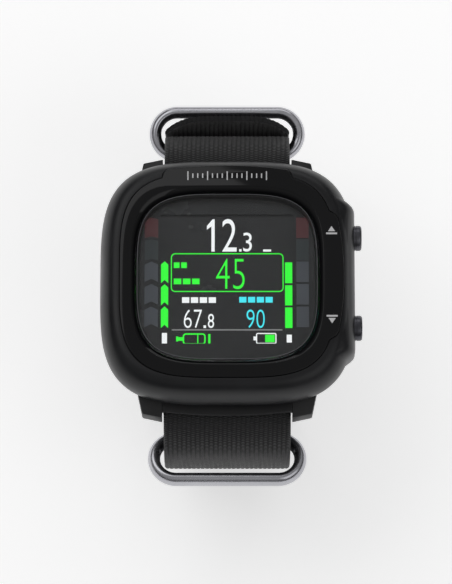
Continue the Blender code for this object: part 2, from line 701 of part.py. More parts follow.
def strap_path():
    """From the sewn end behind the buckle, once round the loop, and out through the buckle."""
    hinge = bend_point(HINGE_ANGLE, BEND + HINGE_WRAP)
    turn = math.degrees(HINGE_ANGLE) - 90
    sewn = smooth([bend_point(math.radians(85), BEND + LAYER),
                   bend_point(math.radians(79), BEND + 2.5 * MM),
                   bend_point(HINGE_ANGLE, BEND + 2 * HINGE_WRAP)], 2)
    fold = arc(hinge, (HINGE_WRAP, HINGE_WRAP), turn - 25, turn - 180, 6)
    bend = arc((BEND_Y, BEND_Z), (BEND, BEND), turn + 3, 0, 3)[:-1]
    flank = [(FLANK_Y, BEND_Z + (FLANK_TOP_Z - BEND_Z) * i / 3) for i in range(3)]
    upper = flank + over_bar(FLANK_Y, FLANK_TOP_Z)
    down = mirrored(over_bar(LOWER_FLANK_Y, LOWER_TOP_Z))
    sweep_y = LOWER_SWEEP - LOWER_FLANK_Y
    floor = arc((sweep_y, LOWER_TOP_Z), (LOWER_SWEEP, LOWER_TOP_Z - FLOOR_Z), 180, 270, 14)
    start = arc((BEND_Y, BEND_Z), (BEND, BEND), -90, -54, 4)
    reaches = [(47, 25.1), (54, 26.3), (61, 28.5), (66, 30.1), (72, 31.2), (78, 30.8), (85, 29.3)]
    over = [start[-1]] + [bend_point(math.radians(a), r * MM) for a, r in reaches]
    tail_y = FLANK_Y + LAYER
    over += [(tail_y + 0.5 * MM, 27.2 * MM), (tail_y, 30.4 * MM), (tail_y, 34 * MM)]
    rise = BAR_Z + BAR_WRAP - FLANK_TOP_Z
    tail = [(tail_y, 39 * MM), (tail_y, 44 * MM), (tail_y, 48 * MM)]
    tail += arc((BAR_Y, FLANK_TOP_Z), (tail_y - BAR_Y, rise + LAYER), 0, 29, 5)
    return sewn + fold + bend + upper + down[:-1] + floor + start + smooth(over, 2)[1:] + tail


def make_strap():
    path = strap_path()
    tail_from = len(path) - 8

    def bow(index, point):
        if index < tail_from:
            return 0.0
        return TAIL_BOW * max((point.y - TAIL_LIFT_Z) / TAIL_LIFT, 0.0) ** 2

    strap = webbing("webbing_strap", path, STRAP_HALF, ((0.02, 0.02, 0.022), 0.85), bow)
    hinge = bend_point(HINGE_ANGLE, BEND + HINGE_WRAP)
    far = bend_point(FAR_ANGLE, FAR_REACH)
    along = (Vector(far) - Vector(hinge)).normalized()
    slot = box("tongue_slot", (-1.5 * MM, 3.4 * MM, -1.4 * MM), (1.5 * MM, 9.8 * MM, 5 * MM))
    slot.matrix_world = local_frame(hinge, along)
    boolean(strap, slot)
    eye = box("eye_slot", (-2.4 * MM, -2.2 * MM, -3.3 * MM), (2.4 * MM, 3.2 * MM, 2.95 * MM))
    eye.matrix_world = local_frame(hinge, along)
    boolean(strap, eye)
    for y in (-6 * MM, 6 * MM, 18 * MM):
        boolean(strap, rod("punched_hole", 1.2 * MM, (0, y, -MM), (0, y, 3 * MM), sides=12))


def local_frame(origin, along):
    """X stays X, Y runs along the frame and Z points outwards from the loop."""
    out = Vector((-along.y, along.x))
    return Matrix(((1, 0, 0, 0),
                   (0, along.x, out.x, origin[0]),
                   (0, along.y, out.y, origin[1]),
                   (0, 0, 0, 1)))


def make_keeper_strap():
    """Under-strap below the case, folded round the inner bar of each oval ring."""
    half = []
    drop = KEEPER_Z - RING_Z
    for centre in (UPPER_RING_Y, -LOWER_RING_Y):
        inner = centre - FOLD_SIDE
        outer = centre + FOLD_SIDE
        start = inner - KEEPER_CORNER
        low = RING_Z - 0.65 * MM
        run = arc((start, RING_Z), (KEEPER_CORNER, drop), 90, 0, 9)
        run += arc((centre, low), (FOLD_SIDE, FOLD_SIDE), 180, 360, 8)
        back = [(outer, low), (outer - 0.35 * MM, RING_Z + 2 * MM), (centre + 0.9 * MM, RING_Z + 4.2 * MM)]
        for turn in (38, 47):
            a = math.radians(turn)
            back.append((start + (KEEPER_CORNER + LAYER + 0.15 * MM) * math.cos(a),
                         RING_Z + (drop + LAYER + 0.15 * MM) * math.sin(a)))
        half.append(run + smooth(back, 3)[1:])
    path = [(-y, z) for y, z in reversed(half[1])] + half[0]
    webbing("keeper_strap", path, KEEPER_HALF, ((0.02, 0.02, 0.022), 0.85))


def stadium(half_x, half_y, radius, steps=10):
    """Centreline of an oval ring lying flat."""
    straight = half_x - half_y
    bend = half_y - radius
    points = []
    for i in range(steps + 1):
        turn = math.radians(-90 + 180 * i / steps)
        points.append((straight + bend * math.cos(turn), bend * math.sin(turn), 0))
    for i in range(steps + 1):
        turn = math.radians(90 + 180 * i / steps)
        points.append((-straight + bend * math.cos(turn), bend * math.sin(turn), 0))
    return points


def make_rings():
    steel = ((0.62, 0.62, 0.64), 0.18, 1.0)
    for name, y, sign in (("upper_ring", UPPER_RING_Y, 1), ("lower_ring", LOWER_RING_Y, -1)):
        points = [(x, y0 + sign * RING_SPAN / 2, z)
                  for x, y0, z in stadium(RING_HALF_X, RING_HALF_Y, RING_RADIUS)]
        ring = tube(name, points, RING_RADIUS, steel, closed=True, resolution=4)
        ring.matrix_world = (Matrix.Translation((0, y, RING_Z))
                             @ Matrix.Rotation(sign * RING_TILT, 4, "X")
                             @ Matrix.Diagonal((1, 1, RING_FLATNESS, 1)))


def make_buckle():
    steel = ((0.6, 0.6, 0.62), 0.2, 1.0)
    hinge = Vector(bend_point(HINGE_ANGLE, BEND + HINGE_WRAP))
    far = Vector(bend_point(FAR_ANGLE, FAR_REACH))
    along = (far - hinge).normalized()
    length = (far - hinge).length
    half = 20.4 * MM
    corner = 3 * MM
    path = []
    for sx, sy, start in ((1, 0, -90), (1, 1, 0), (-1, 1, 90), (-1, 0, 180)):
        for i in range(4):
            turn = math.radians(start + 30 * i)
            x = sx * (half - corner) + corner * math.cos(turn)
            y = (length - corner if sy else corner) + corner * math.sin(turn)
            path.append((x, y, 0))
    frame = tube("buckle_frame", path, HINGE_RADIUS, steel, closed=True, resolution=3)
    frame.matrix_world = local_frame(hinge, along)

    tongue = turned("buckle_tongue", [(1.3 * MM, -1.7 * MM), (1.3 * MM, 1.7 * MM),
                                      (2.0 * MM, 1.7 * MM), (2.0 * MM, -1.7 * MM)], steel, 16)
    tongue = as_mesh(tongue)
    tongue.matrix_world = local_frame(hinge, along) @ Matrix.Rotation(math.pi / 2, 4, "Y")
    pin = rod("tongue_pin", 0.8 * MM, (0, 1.65 * MM, 0.35 * MM), (0, length + 1.9 * MM, 2.7 * MM), sides=12)
    pin.matrix_world = local_frame(hinge, along) @ pin.matrix_basis
    boolean(tongue, pin, "UNION")


# ---------------------------------------------------------------- assembly

clear_scene()
parts = new_collection("dive_computer")
cutters = new_collection("cutters")

make_bezel_casing()
make_face_plate()
make_lens()
make_display()
make_board()
make_lower_housing()
make_case_details()
make_button("upper_button", 1)
make_button("lower_button", -1)
make_spring_bar("upper", 1)
make_spring_bar("lower", -1)
make_strap()
make_keeper_strap()
make_rings()
make_buckle()
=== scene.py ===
"""Looks of a wrist dive computer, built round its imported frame."""
import json
import math

import bmesh
import bpy
from mathutils import Matrix, Vector


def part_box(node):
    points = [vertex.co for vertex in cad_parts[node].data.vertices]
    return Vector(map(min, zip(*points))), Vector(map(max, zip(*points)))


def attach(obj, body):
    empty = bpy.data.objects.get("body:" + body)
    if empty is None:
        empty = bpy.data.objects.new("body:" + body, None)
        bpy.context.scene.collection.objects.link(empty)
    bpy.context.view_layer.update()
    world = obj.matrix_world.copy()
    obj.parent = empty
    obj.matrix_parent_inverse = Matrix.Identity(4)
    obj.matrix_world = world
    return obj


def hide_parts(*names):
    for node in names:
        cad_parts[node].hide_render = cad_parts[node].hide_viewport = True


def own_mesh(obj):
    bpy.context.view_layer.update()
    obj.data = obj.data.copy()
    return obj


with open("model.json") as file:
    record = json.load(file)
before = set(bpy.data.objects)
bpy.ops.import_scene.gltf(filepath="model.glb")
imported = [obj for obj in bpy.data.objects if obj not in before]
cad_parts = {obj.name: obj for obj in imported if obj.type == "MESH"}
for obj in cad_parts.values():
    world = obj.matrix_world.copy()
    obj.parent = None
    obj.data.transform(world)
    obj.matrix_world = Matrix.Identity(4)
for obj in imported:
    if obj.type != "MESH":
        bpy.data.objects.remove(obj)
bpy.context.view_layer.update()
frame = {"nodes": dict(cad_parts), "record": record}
nodes = frame["nodes"]

MM = 0.001
ROOT = "case_and_strap"
POWER = 3.7

# Heights taken from the frame
FACE_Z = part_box("face_plate")[1].z
PLATE_LOW_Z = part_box("face_plate")[0].z
LENS_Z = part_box("lens_window")[1].z
MASK_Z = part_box("screen_mask")[1].z
PANEL_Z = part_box("display_panel")[1].z
PARTING_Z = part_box("bezel_casing")[0].z
RIM_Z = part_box("bezel_casing")[1].z
BACK_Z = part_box("back_cover")[0].z
HOUSING_TOP_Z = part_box("lower_housing")[1].z

BEZEL_HALF = (35.0 * MM, 34.2 * MM)
FOOT_HALF = (33.9 * MM, 33.1 * MM)
RIM_HALF = (29.9 * MM, 29.25 * MM)
PLATE_HALF = (29.45 * MM, 28.8 * MM)
WINDOW_TOP = (26.25 * MM, 25.1 * MM)
WINDOW_LOW = (24.8 * MM, 23.4 * MM)
LENS_HALF = (26.3 * MM, 24.9 * MM)
HOLLOW_HALF = (31.4 * MM, 29.2 * MM)
HOLLOW_TOP_Z = 76.9 * MM
WIDEST_Z = 74.4 * MM
RECESS_GAP = 0.18 * MM
HOUSING_HALF = (33.5 * MM, 30.6 * MM)
HOUSING_WALL = 2.2 * MM
REBATE_HALF = (23.3 * MM, 22.3 * MM)
REBATE_POWER = 9
COVER_SCREW = (26.5 * MM, 22.8 * MM)
LUG_INNER_X = 17.95 * MM
SCREEN_Y = 0.3 * MM
BUTTON_Y = 12.8 * MM
BUTTON_Z = 74.5 * MM
BUTTON_FACE_X = 37.1 * MM
BUTTON_BORE = 3.75 * MM
COIL_START_X = 31.5 * MM
COIL_LENGTH = 1.8 * MM
COIL_RADIUS = 2.5 * MM
COIL_WIRE = 0.17 * MM
PRINT = 0.03 * MM
LIT = 0.04 * MM

# Webbing route, as in the frame
WEB = 1.6 * MM
STRAP_HALF = 17.5 * MM
KEEPER_HALF = 13.5 * MM
RIB_PITCH = 1.25 * MM
RIB_RISE = 0.16 * MM
ROW_LENGTH = 0.62 * MM
FLOOR_Z = WEB / 2
BEND = 25.0 * MM
FLANK_Y = 47.3 * MM
BEND_Y = FLANK_Y - BEND
BEND_Z = FLOOR_Z + BEND
FLANK_TOP_Z = 52.5 * MM
LOWER_FLANK_Y = 44.7 * MM
LOWER_TOP_Z = 50.0 * MM
LOWER_SWEEP = 34.0 * MM
BAR_Y = 34.1 * MM
BAR_Z = 65.4 * MM
BAR_WRAP = 2.2 * MM
UNDER_Z = 62.9 * MM
KEEPER_Z = 61.0 * MM
LAYER = WEB + 0.3 * MM
TAIL_LIFT_Z = 44.0 * MM
TAIL_LIFT = 17.0 * MM
TAIL_BOW = 4.3 * MM
TAIL_LENGTH = 24 * MM
KEEPER_CORNER = 7.65 * MM
RING_Z = 54.0 * MM
RING_HALF_X = 22.0 * MM
RING_HALF_Y = 7.9 * MM
RING_RADIUS = 1.7 * MM
RING_FLATNESS = 1.5
RING_TILT = math.radians(12)
UPPER_RING_Y = 42.5 * MM
LOWER_RING_Y = -39.3 * MM
FOLD_SIDE = 2.85 * MM
HINGE_ANGLE = math.radians(72)
HINGE_WRAP = 2.1 * MM


# ---------------------------------------------------------------- materials

def principled(mat):
    return mat.node_tree.nodes["Principled BSDF"]


def lit(mat, color, strength):
    """The same material, glowing evenly."""
    principled(mat).inputs["Emission Color"].default_value = (*color, 1)
    principled(mat).inputs["Emission Strength"].default_value = strength
    return mat


def new_material(name, color, roughness, metallic=0.0, **sockets):
    mat = bpy.data.materials.new(name)
    mat.use_nodes = True
    shader = principled(mat)
    shader.inputs["Base Color"].default_value = (*color, 1)
    shader.inputs["Roughness"].default_value = roughness
    shader.inputs["Metallic"].default_value = metallic
    for socket, value in sockets.items():
        shader.inputs[socket.replace("_", " ")].default_value = value
    return mat


def node(mat, kind, **values):
    made = mat.node_tree.nodes.new(kind)
    for key, value in values.items():
        if key in made.inputs:
            made.inputs[key].default_value = value
        else:
            setattr(made, key, value)
    return made


def link(mat, out, target):
    mat.node_tree.links.new(out, target)


def grain(mat, scale, depth, rough, color=None, stretch=(1, 1, 1), fine=5):
    """Noise that varies the bump, the roughness and, where given, the colour."""
    shader = principled(mat)
    coords = node(mat, "ShaderNodeTexCoord")
    mapping = node(mat, "ShaderNodeMapping", Scale=stretch)
    link(mat, coords.outputs["Object"], mapping.inputs["Vector"])
    noise = node(mat, "ShaderNodeTexNoise", Scale=scale, Detail=3.0)
    link(mat, mapping.outputs["Vector"], noise.inputs["Vector"])
    wear = node(mat, "ShaderNodeTexNoise", Scale=scale / fine / 12, Detail=4.0)
    link(mat, mapping.outputs["Vector"], wear.inputs["Vector"])
    bump = node(mat, "ShaderNodeBump", Strength=0.6, Distance=depth)
    link(mat, noise.outputs["Fac"], bump.inputs["Height"])
    link(mat, bump.outputs["Normal"], shader.inputs["Normal"])
    spread = node(mat, "ShaderNodeMapRange")
    spread.inputs["From Min"].default_value = 0.3
    spread.inputs["From Max"].default_value = 0.7
    spread.inputs["To Min"].default_value = rough[0]
    spread.inputs["To Max"].default_value = rough[1]
    link(mat, wear.outputs["Fac"], spread.inputs["Value"])
    link(mat, spread.outputs["Result"], shader.inputs["Roughness"])
    if color:
        ramp = node(mat, "ShaderNodeValToRGB")
        ramp.color_ramp.elements[0].position = 0.35
        ramp.color_ramp.elements[1].position = 0.7
        ramp.color_ramp.elements[0].color = (*color[0], 1)
        ramp.color_ramp.elements[1].color = (*color[1], 1)
        link(mat, wear.outputs["Fac"], ramp.inputs["Fac"])
        link(mat, ramp.outputs["Color"], shader.inputs["Base Color"])
    return mat


def finish(name, color, roughness, metallic, scale, depth, rough, tones=None,
           stretch=(1, 1, 1), **sockets):
    """A new material with grain."""
    mat = new_material(name, color, roughness, metallic, **sockets)
    return grain(mat, scale, depth, rough, tones, stretch)


def webbing_material(name):
    """Ribbed nylon: short cross threads on each lengthwise rib, offset from rib to rib. Its colour is
    painted darker in the valleys between threads (painted shade) and lighter on their crests (painted
    highlight).
    """
    mat = new_material(name, (0.012, 0.012, 0.014), 0.7, Sheen_Weight=0.25, Sheen_Roughness=0.4)
    shader = principled(mat)
    uv = node(mat, "ShaderNodeUVMap", uv_map="cloth")
    split = node(mat, "ShaderNodeSeparateXYZ")
    link(mat, uv.outputs["UV"], split.inputs["Vector"])
    rib = math_node(mat, "FLOOR", split.outputs["X"])
    half = math_node(mat, "MULTIPLY", rib, 0.5)
    row = math_node(mat, "ADD", split.outputs["Y"], half)
    wave = math_node(mat, "SINE", math_node(mat, "MULTIPLY", row, 2 * math.pi))
    across = math_node(mat, "SINE", math_node(mat, "MULTIPLY", split.outputs["X"], math.pi))
    across = math_node(mat, "ABSOLUTE", across)
    height = math_node(mat, "MULTIPLY", math_node(mat, "ADD", wave, 1.0), across)
    bump = node(mat, "ShaderNodeBump", Strength=0.8, Distance=0.00012)
    link(mat, height, bump.inputs["Height"])
    link(mat, bump.outputs["Normal"], shader.inputs["Normal"])
    # Painted shade and highlight: the colour follows the thread height, darker in the valleys and lighter
    # on the crests.
    ramp = node(mat, "ShaderNodeValToRGB")
    ramp.color_ramp.elements[0].color = (0.002, 0.002, 0.0024, 1)
    ramp.color_ramp.elements[1].color = (0.013, 0.013, 0.0145, 1)
    ramp.color_ramp.elements[1].position = 0.9
    link(mat, math_node(mat, "MULTIPLY", height, 0.5), ramp.inputs["Fac"])
    link(mat, ramp.outputs["Color"], shader.inputs["Base Color"])
    coords = node(mat, "ShaderNodeTexCoord")
    fuzz = node(mat, "ShaderNodeTexNoise", Scale=900.0, Detail=3.0)
    link(mat, coords.outputs["Object"], fuzz.inputs["Vector"])
    spread = node(mat, "ShaderNodeMapRange")
    spread.inputs["To Min"].default_value = 0.55
    spread.inputs["To Max"].default_value = 0.85
    link(mat, fuzz.outputs["Fac"], spread.inputs["Value"])
    link(mat, spread.outputs["Result"], shader.inputs["Roughness"])
    return mat


def math_node(mat, operation, first, second=None):
    made = node(mat, "ShaderNodeMath", operation=operation)
    link(mat, first, made.inputs[0])
    if isinstance(second, float):
        made.inputs[1].default_value = second
    elif second is not None:
        link(mat, second, made.inputs[1])
    return made.outputs["Value"]


def glow(name, color, strength=1.0):
    """A lit display element: it glows, with the faint grid of its picture dots."""
    mat = new_material(name, [c * 0.1 for c in color], 0.6)
    shader = principled(mat)
    shader.inputs["Emission Strength"].default_value = strength
    coords = node(mat, "ShaderNodeTexCoord")
    dots = node(mat, "ShaderNodeTexNoise", Scale=9000.0, Detail=1.0)
    link(mat, coords.outputs["Object"], dots.inputs["Vector"])
    ramp = node(mat, "ShaderNodeValToRGB")
    ramp.color_ramp.elements[0].color = (*[c * 0.8 for c in color], 1)
    ramp.color_ramp.elements[1].color = (*color, 1)
    ramp.color_ramp.elements[1].position = 0.55
    link(mat, dots.outputs["Fac"], ramp.inputs["Fac"])
    link(mat, ramp.outputs["Color"], shader.inputs["Emission Color"])
    return mat


looks = {
    "satin_black": finish("casing_satin", (0.008, 0.0082, 0.0095), 0.36, 0.0, 5200, 0.000018,
                          (0.3, 0.42), ((0.006, 0.0063, 0.0075), (0.010, 0.0104, 0.012)),
                          Specular_IOR_Level=0.32),
    "housing_black": finish("housing_satin", (0.01, 0.01, 0.011), 0.45, 0.0, 4200, 0.00003,
                            (0.4, 0.55), ((0.010, 0.010, 0.011), (0.017, 0.017, 0.018)),
                            Specular_IOR_Level=0.4),
    "gloss_black": finish("plate_gloss", (0.003, 0.003, 0.0036), 0.06, 0.0, 900, 0.000002, (0.04, 0.1),
                          ((0.0022, 0.0022, 0.0028), (0.004, 0.004, 0.0048)), Specular_IOR_Level=0.28),
    "display": finish("display_glass", (0.03, 0.031, 0.033), 0.25, 0.0, 3000, 0.00000005, (0.2, 0.3),
                      ((0.026, 0.027, 0.028), (0.034, 0.035, 0.037))),
    "inner_plastic": finish("inner_plastic", (0.02, 0.02, 0.02), 0.5, 0.0, 2500, 0.00002, (0.45, 0.6),
                            ((0.015, 0.015, 0.015), (0.03, 0.03, 0.03))),
    "diffuser": finish("diffuser", (0.8, 0.8, 0.78), 0.5, 0.0, 1500, 0.00001, (0.4, 0.6),
                       ((0.74, 0.74, 0.72), (0.84, 0.84, 0.82))),
    "flex_film": finish("flex_film", (0.4, 0.18, 0.02), 0.3, 0.0, 1500, 0.00001, (0.25, 0.4),
                        ((0.33, 0.14, 0.015), (0.46, 0.22, 0.03))),
    "board_green": finish("board_mask", (0.01, 0.1, 0.04), 0.35, 0.0, 1200, 0.00002, (0.3, 0.45),
                          ((0.008, 0.08, 0.03), (0.015, 0.13, 0.055))),
    "chip_black": finish("chip_epoxy", (0.02, 0.02, 0.02), 0.5, 0.0, 6000, 0.00001, (0.45, 0.6),
                         ((0.015, 0.015, 0.015), (0.03, 0.03, 0.03))),
    "shield_can": finish("tinned_can", (0.6, 0.6, 0.58), 0.35, 1.0, 2500, 0.00001, (0.28, 0.45),
                         ((0.54, 0.54, 0.52), (0.66, 0.66, 0.63))),
    "contact_gold": finish("contact_gold", (0.8, 0.56, 0.2), 0.25, 1.0, 2500, 0.00001, (0.2, 0.35),
                           ((0.72, 0.5, 0.17), (0.86, 0.62, 0.25))),
    "seal_rubber": finish("seal_rubber", (0.012, 0.012, 0.012), 0.7, 0.0, 2500, 0.00003, (0.6, 0.8),
                          ((0.010, 0.010, 0.010), (0.02, 0.02, 0.02))),
    "seal_red": finish("seal_silicone", (0.28, 0.03, 0.02), 0.5, 0.0, 2500, 0.00002, (0.45, 0.65),
                       ((0.22, 0.02, 0.015), (0.34, 0.04, 0.03))),
    "foam": finish("cell_foam", (0.08, 0.08, 0.09), 0.9, 0.0, 2200, 0.00015, (0.8, 0.95),
                   ((0.05, 0.05, 0.055), (0.11, 0.11, 0.12))),
    "battery_foil": finish("battery_foil", (0.4, 0.42, 0.45), 0.35, 0.8, 900, 0.00006, (0.28, 0.45),
                           ((0.34, 0.36, 0.39), (0.46, 0.48, 0.5))),
    "steel": finish("machined_steel", (0.55, 0.55, 0.57), 0.3, 1.0, 2600, 0.00001, (0.22, 0.4),
                    ((0.48, 0.48, 0.5), (0.6, 0.6, 0.62)), (1, 1, 6)),
    "polished_steel": finish("ring_steel", (0.46, 0.46, 0.49), 0.24, 1.0, 1500, 0.000006, (0.19, 0.3),
                             ((0.42, 0.42, 0.45), (0.54, 0.54, 0.57)), (1, 6, 6)),
    "button_metal": finish("button_metal", (0.09, 0.09, 0.1), 0.3, 1.0, 2600, 0.000012, (0.24, 0.38),
                           ((0.06, 0.06, 0.07), (0.14, 0.14, 0.15))),
    "webbing": webbing_material("ribbed_nylon"),
}
thread = finish("sewing_thread", (0.02, 0.02, 0.023), 0.6, 0.0, 6000, 0.00004, (0.5, 0.75),
                ((0.016, 0.016, 0.018), (0.04, 0.04, 0.044)))
# Painted highlight: a lighter grey for the line that stands for the light caught at the lens edge.
lens_edge_highlight = finish("lens_edge", (0.12, 0.12, 0.13), 0.25, 0.0, 3000, 0.000004, (0.2, 0.32),
                   ((0.09, 0.09, 0.1), (0.15, 0.15, 0.16)))
print_grey = finish("printed_marks", (0.7, 0.7, 0.71), 0.45, 0.0, 5000, 0.000006, (0.4, 0.55),
                    ((0.64, 0.64, 0.65), (0.76, 0.76, 0.77)))
lens_glass = finish("lens_glass", (0.86, 0.87, 0.88), 0.02, 0.0, 700, 0.00000005, (0.005, 0.02),
                    Transmission_Weight=1.0, IOR=1.35)


# ---------------------------------------------------------------- outlines and routes

def superellipse(half, count, grow=0.0):
    points = []
    for i in range(count):
        turn = 2 * math.pi * i / count
        c = math.cos(turn)
        s = math.sin(turn)
        points.append(((half[0] + grow) * math.copysign(abs(c) ** (2 / POWER), c),
                       (half[1] + grow) * math.copysign(abs(s) ** (2 / POWER), s)))
    return points


def superellipse_x(half, y):
    return half[0] * (1 - abs(y / half[1]) ** POWER) ** (1 / POWER)


def superellipse_y(half, x):
    return half[1] * (1 - abs(x / half[0]) ** POWER) ** (1 / POWER)


def plate_outline(grow=0.0):
    """Superellipse with the tab at 12 o'clock and the lobe beside the buttons."""
    half = (PLATE_HALF[0] + grow, PLATE_HALF[1] + grow)
    lobe_y = 17.0 * MM
    side_x = 30.4 * MM
    step_y = lobe_y + 1.2 * MM + grow
    lobe = [(side_x - 0.7 * MM + grow, -lobe_y - grow)]
    for i in range(-10, 11):
        y = (lobe_y - 1.2 * MM + grow) * i / 10
        lobe.append((side_x + grow + 1.6 * MM * (1 - (i / 10) ** 2), y))
    lobe.append((side_x - 0.7 * MM + grow, lobe_y + grow))
    tab = [(17.4 * MM + grow, 29.1 * MM + grow)]
    for i in range(12, -13, -1):
        x = (16.4 * MM + grow) * i / 12
        tab.append((x, 29.9 * MM + grow + 1.2 * MM * (1 - (i / 12) ** 2)))
    tab.append((-17.4 * MM - grow, 29.1 * MM + grow))
    base = 17.9 * MM + grow
    margin = 0.15 * MM
    rim = superellipse(half, 240)
    corner = [p for p in rim if p[0] > base + margin and p[1] > step_y + margin]
    rest = [p for p in rim if (p[0] < -base - margin and p[1] >= 0) or (p[1] < 0 and p[0] < base)]
    low_corner = [p for p in rim if p[0] >= base and p[1] < -step_y - margin]
    outline = [(superellipse_x(half, step_y), -step_y)] + lobe
    outline += [(superellipse_x(half, step_y), step_y)] + corner
    outline += [(base, superellipse_y(half, base))] + tab
    outline += [(-base, superellipse_y(half, base))] + rest + low_corner
    return outline


def bend_point(angle, reach):
    return (BEND_Y + reach * math.sin(angle), BEND_Z - reach * math.cos(angle))


def arc(centre, radii, start, end, count):
    points = []
    for i in range(count + 1):
        turn = math.radians(start + (end - start) * i / count)
        points.append((centre[0] + radii[0] * math.cos(turn),
                       centre[1] + radii[1] * math.sin(turn)))
    return points


def smooth(points, steps):
    """Catmull-Rom curve through the points."""
    points = [Vector(p) for p in points]
    ends = [2 * points[0] - points[1]] + points + [2 * points[-1] - points[-2]]
    curve = []
    for a, b, c, d in zip(ends, ends[1:], ends[2:], ends[3:]):
        for i in range(steps):
            t = i / steps
            curve.append(tuple(0.5 * (2 * b + (c - a) * t
                                      + (2 * a - 5 * b + 4 * c - d) * t ** 2
                                      + (3 * b - a - 3 * c + d) * t ** 3)))
    curve.append(tuple(points[-1]))
    return curve


def resampled(points, spacing):
    """The same route with evenly spaced points, and the length up to each."""
    points = [Vector(p) for p in points]
    lengths = [0.0]
    for a, b in zip(points, points[1:]):
        lengths.append(lengths[-1] + (b - a).length)
    count = max(2, round(lengths[-1] / spacing))
    even = []
    j = 0
    for i in range(count + 1):
        want = lengths[-1] * i / count
        while j < len(lengths) - 2 and lengths[j + 1] < want:
            j += 1
        span = max(lengths[j + 1] - lengths[j], 1e-9)
        even.append(points[j].lerp(points[j + 1], (want - lengths[j]) / span))
    return even, lengths[-1] / count


def over_bar(widest_y, widest_z):
    """One side of the strap from its widest point, over the spring bar and under the case."""
    rise = BAR_Z + BAR_WRAP - widest_z
    path = arc((BAR_Y, widest_z), (widest_y - BAR_Y, rise), 0, 90, 40)
    path += arc((BAR_Y, BAR_Z), (BAR_WRAP, BAR_WRAP), 95, 180, 12)
    corner = BAR_Y - BAR_WRAP - 2 * MM
    path += arc((corner, UNDER_Z + 2 * MM), (2 * MM, 2 * MM), 0, -90, 10)
    return path


def strap_route():
    """From the sewn end behind the buckle, once round the loop, and out to the tail's end."""
    hinge = bend_point(HINGE_ANGLE, BEND + HINGE_WRAP)
    turn = math.degrees(HINGE_ANGLE) - 90
    sewn = smooth([bend_point(math.radians(85), BEND + LAYER),
                   bend_point(math.radians(79), BEND + 2.5 * MM),
                   bend_point(HINGE_ANGLE, BEND + 2 * HINGE_WRAP)], 6)
    fold = arc(hinge, (HINGE_WRAP, HINGE_WRAP), turn - 12, turn - 180, 16)
    bend = arc((BEND_Y, BEND_Z), (BEND, BEND), turn + 1, 0, 8)[:-1]
    flank = [(FLANK_Y, BEND_Z + (FLANK_TOP_Z - BEND_Z) * i / 10) for i in range(10)]
    upper = flank + over_bar(FLANK_Y, FLANK_TOP_Z)
    down = [(-y, z) for y, z in reversed(over_bar(LOWER_FLANK_Y, LOWER_TOP_Z))]
    sweep_y = LOWER_SWEEP - LOWER_FLANK_Y
    floor = arc((sweep_y, LOWER_TOP_Z), (LOWER_SWEEP, LOWER_TOP_Z - FLOOR_Z), 180, 270, 60)
    start = arc((BEND_Y, BEND_Z), (BEND, BEND), -90, -54, 14)
    reaches = [(47, 25.1), (54, 26.3), (61, 28.5), (66, 30.1), (72, 31.2), (78, 30.8), (85, 29.3)]
    over = [start[-1]] + [bend_point(math.radians(a), r * MM) for a, r in reaches]
    tail_y = FLANK_Y + LAYER
    over += [(tail_y + 0.5 * MM, 27.2 * MM), (tail_y, 30.4 * MM), (tail_y, 34 * MM)]
    rise = BAR_Z + BAR_WRAP - FLANK_TOP_Z
    tail = [(tail_y, 40 * MM)] + arc((BAR_Y, FLANK_TOP_Z), (tail_y - BAR_Y, rise + LAYER), 0, 29, 16)
    return sewn + fold + bend + upper + down[:-1] + floor + start + smooth(over, 8)[1:] + tail


def keeper_route():
    """Under-strap below the case, folded round the inner bar of each oval ring."""
    half = []
    drop = KEEPER_Z - RING_Z
    for centre in (UPPER_RING_Y, -LOWER_RING_Y):
        start = centre - FOLD_SIDE - KEEPER_CORNER
        low = RING_Z - 0.65 * MM
        run = arc((start, RING_Z), (KEEPER_CORNER, drop), 90, 0, 30)
        run += arc((centre, low), (FOLD_SIDE, FOLD_SIDE), 180, 360, 20)
        back = [(centre + FOLD_SIDE, low), (centre + FOLD_SIDE - 0.35 * MM, RING_Z + 2 * MM),
                (centre + 0.9 * MM, RING_Z + 4.2 * MM)]
        for turn in (38, 47):
            a = math.radians(turn)
            back.append((start + (KEEPER_CORNER + LAYER + 0.15 * MM) * math.cos(a),
                         RING_Z + (drop + LAYER + 0.15 * MM) * math.sin(a)))
        half.append(run + smooth(back, 8)[1:])
    return [(-y, z) for y, z in reversed(half[1])] + half[0]


# ---------------------------------------------------------------- pieces

def linked(name, data):
    """A new object in the scene."""
    obj = bpy.data.objects.new(name, data)
    bpy.context.scene.collection.objects.link(obj)
    return obj


def mesh_of(bm, name):
    mesh = bpy.data.meshes.new(name)
    bm.to_mesh(mesh)
    bm.free()
    return mesh


def place(name, mesh, mat, body=ROOT, replaces=(), smooth_angle=35):
    """Put a mesh in the scene as a finished piece that rides on a body."""
    mesh.materials.clear()
    mesh.materials.append(mat)
    obj = linked(name, mesh)
    mesh.shade_smooth()
    mesh.set_sharp_from_angle(angle=math.radians(smooth_angle))
    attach(obj, body)
    if replaces:
        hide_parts(*replaces)
    return obj


def mesh_from(bm, name):
    """The mesh with all its faces pointing outwards."""
    bmesh.ops.recalc_face_normals(bm, faces=bm.faces)
    return mesh_of(bm, name)


def loft(name, sections, capped=True):
    """A body through sections with the same number of points."""
    bm = bmesh.new()
    rings = [[bm.verts.new(p) for p in section] for section in sections]
    pairs = list(zip(rings, rings[1:]))
    if not capped:
        pairs.append((rings[-1], rings[0]))
    for low, high in pairs:
        count = len(low)
        for i in range(count):
            j = (i + 1) % count
            bm.faces.new((low[i], low[j], high[j], high[i]))
    if capped:
        bm.faces.new(list(reversed(rings[0])))
        bm.faces.new(rings[-1])
    return mesh_from(bm, name)


def level(z, half, count, grow=0.0):
    return [(x, y, z) for x, y in superellipse(half, count, grow)]


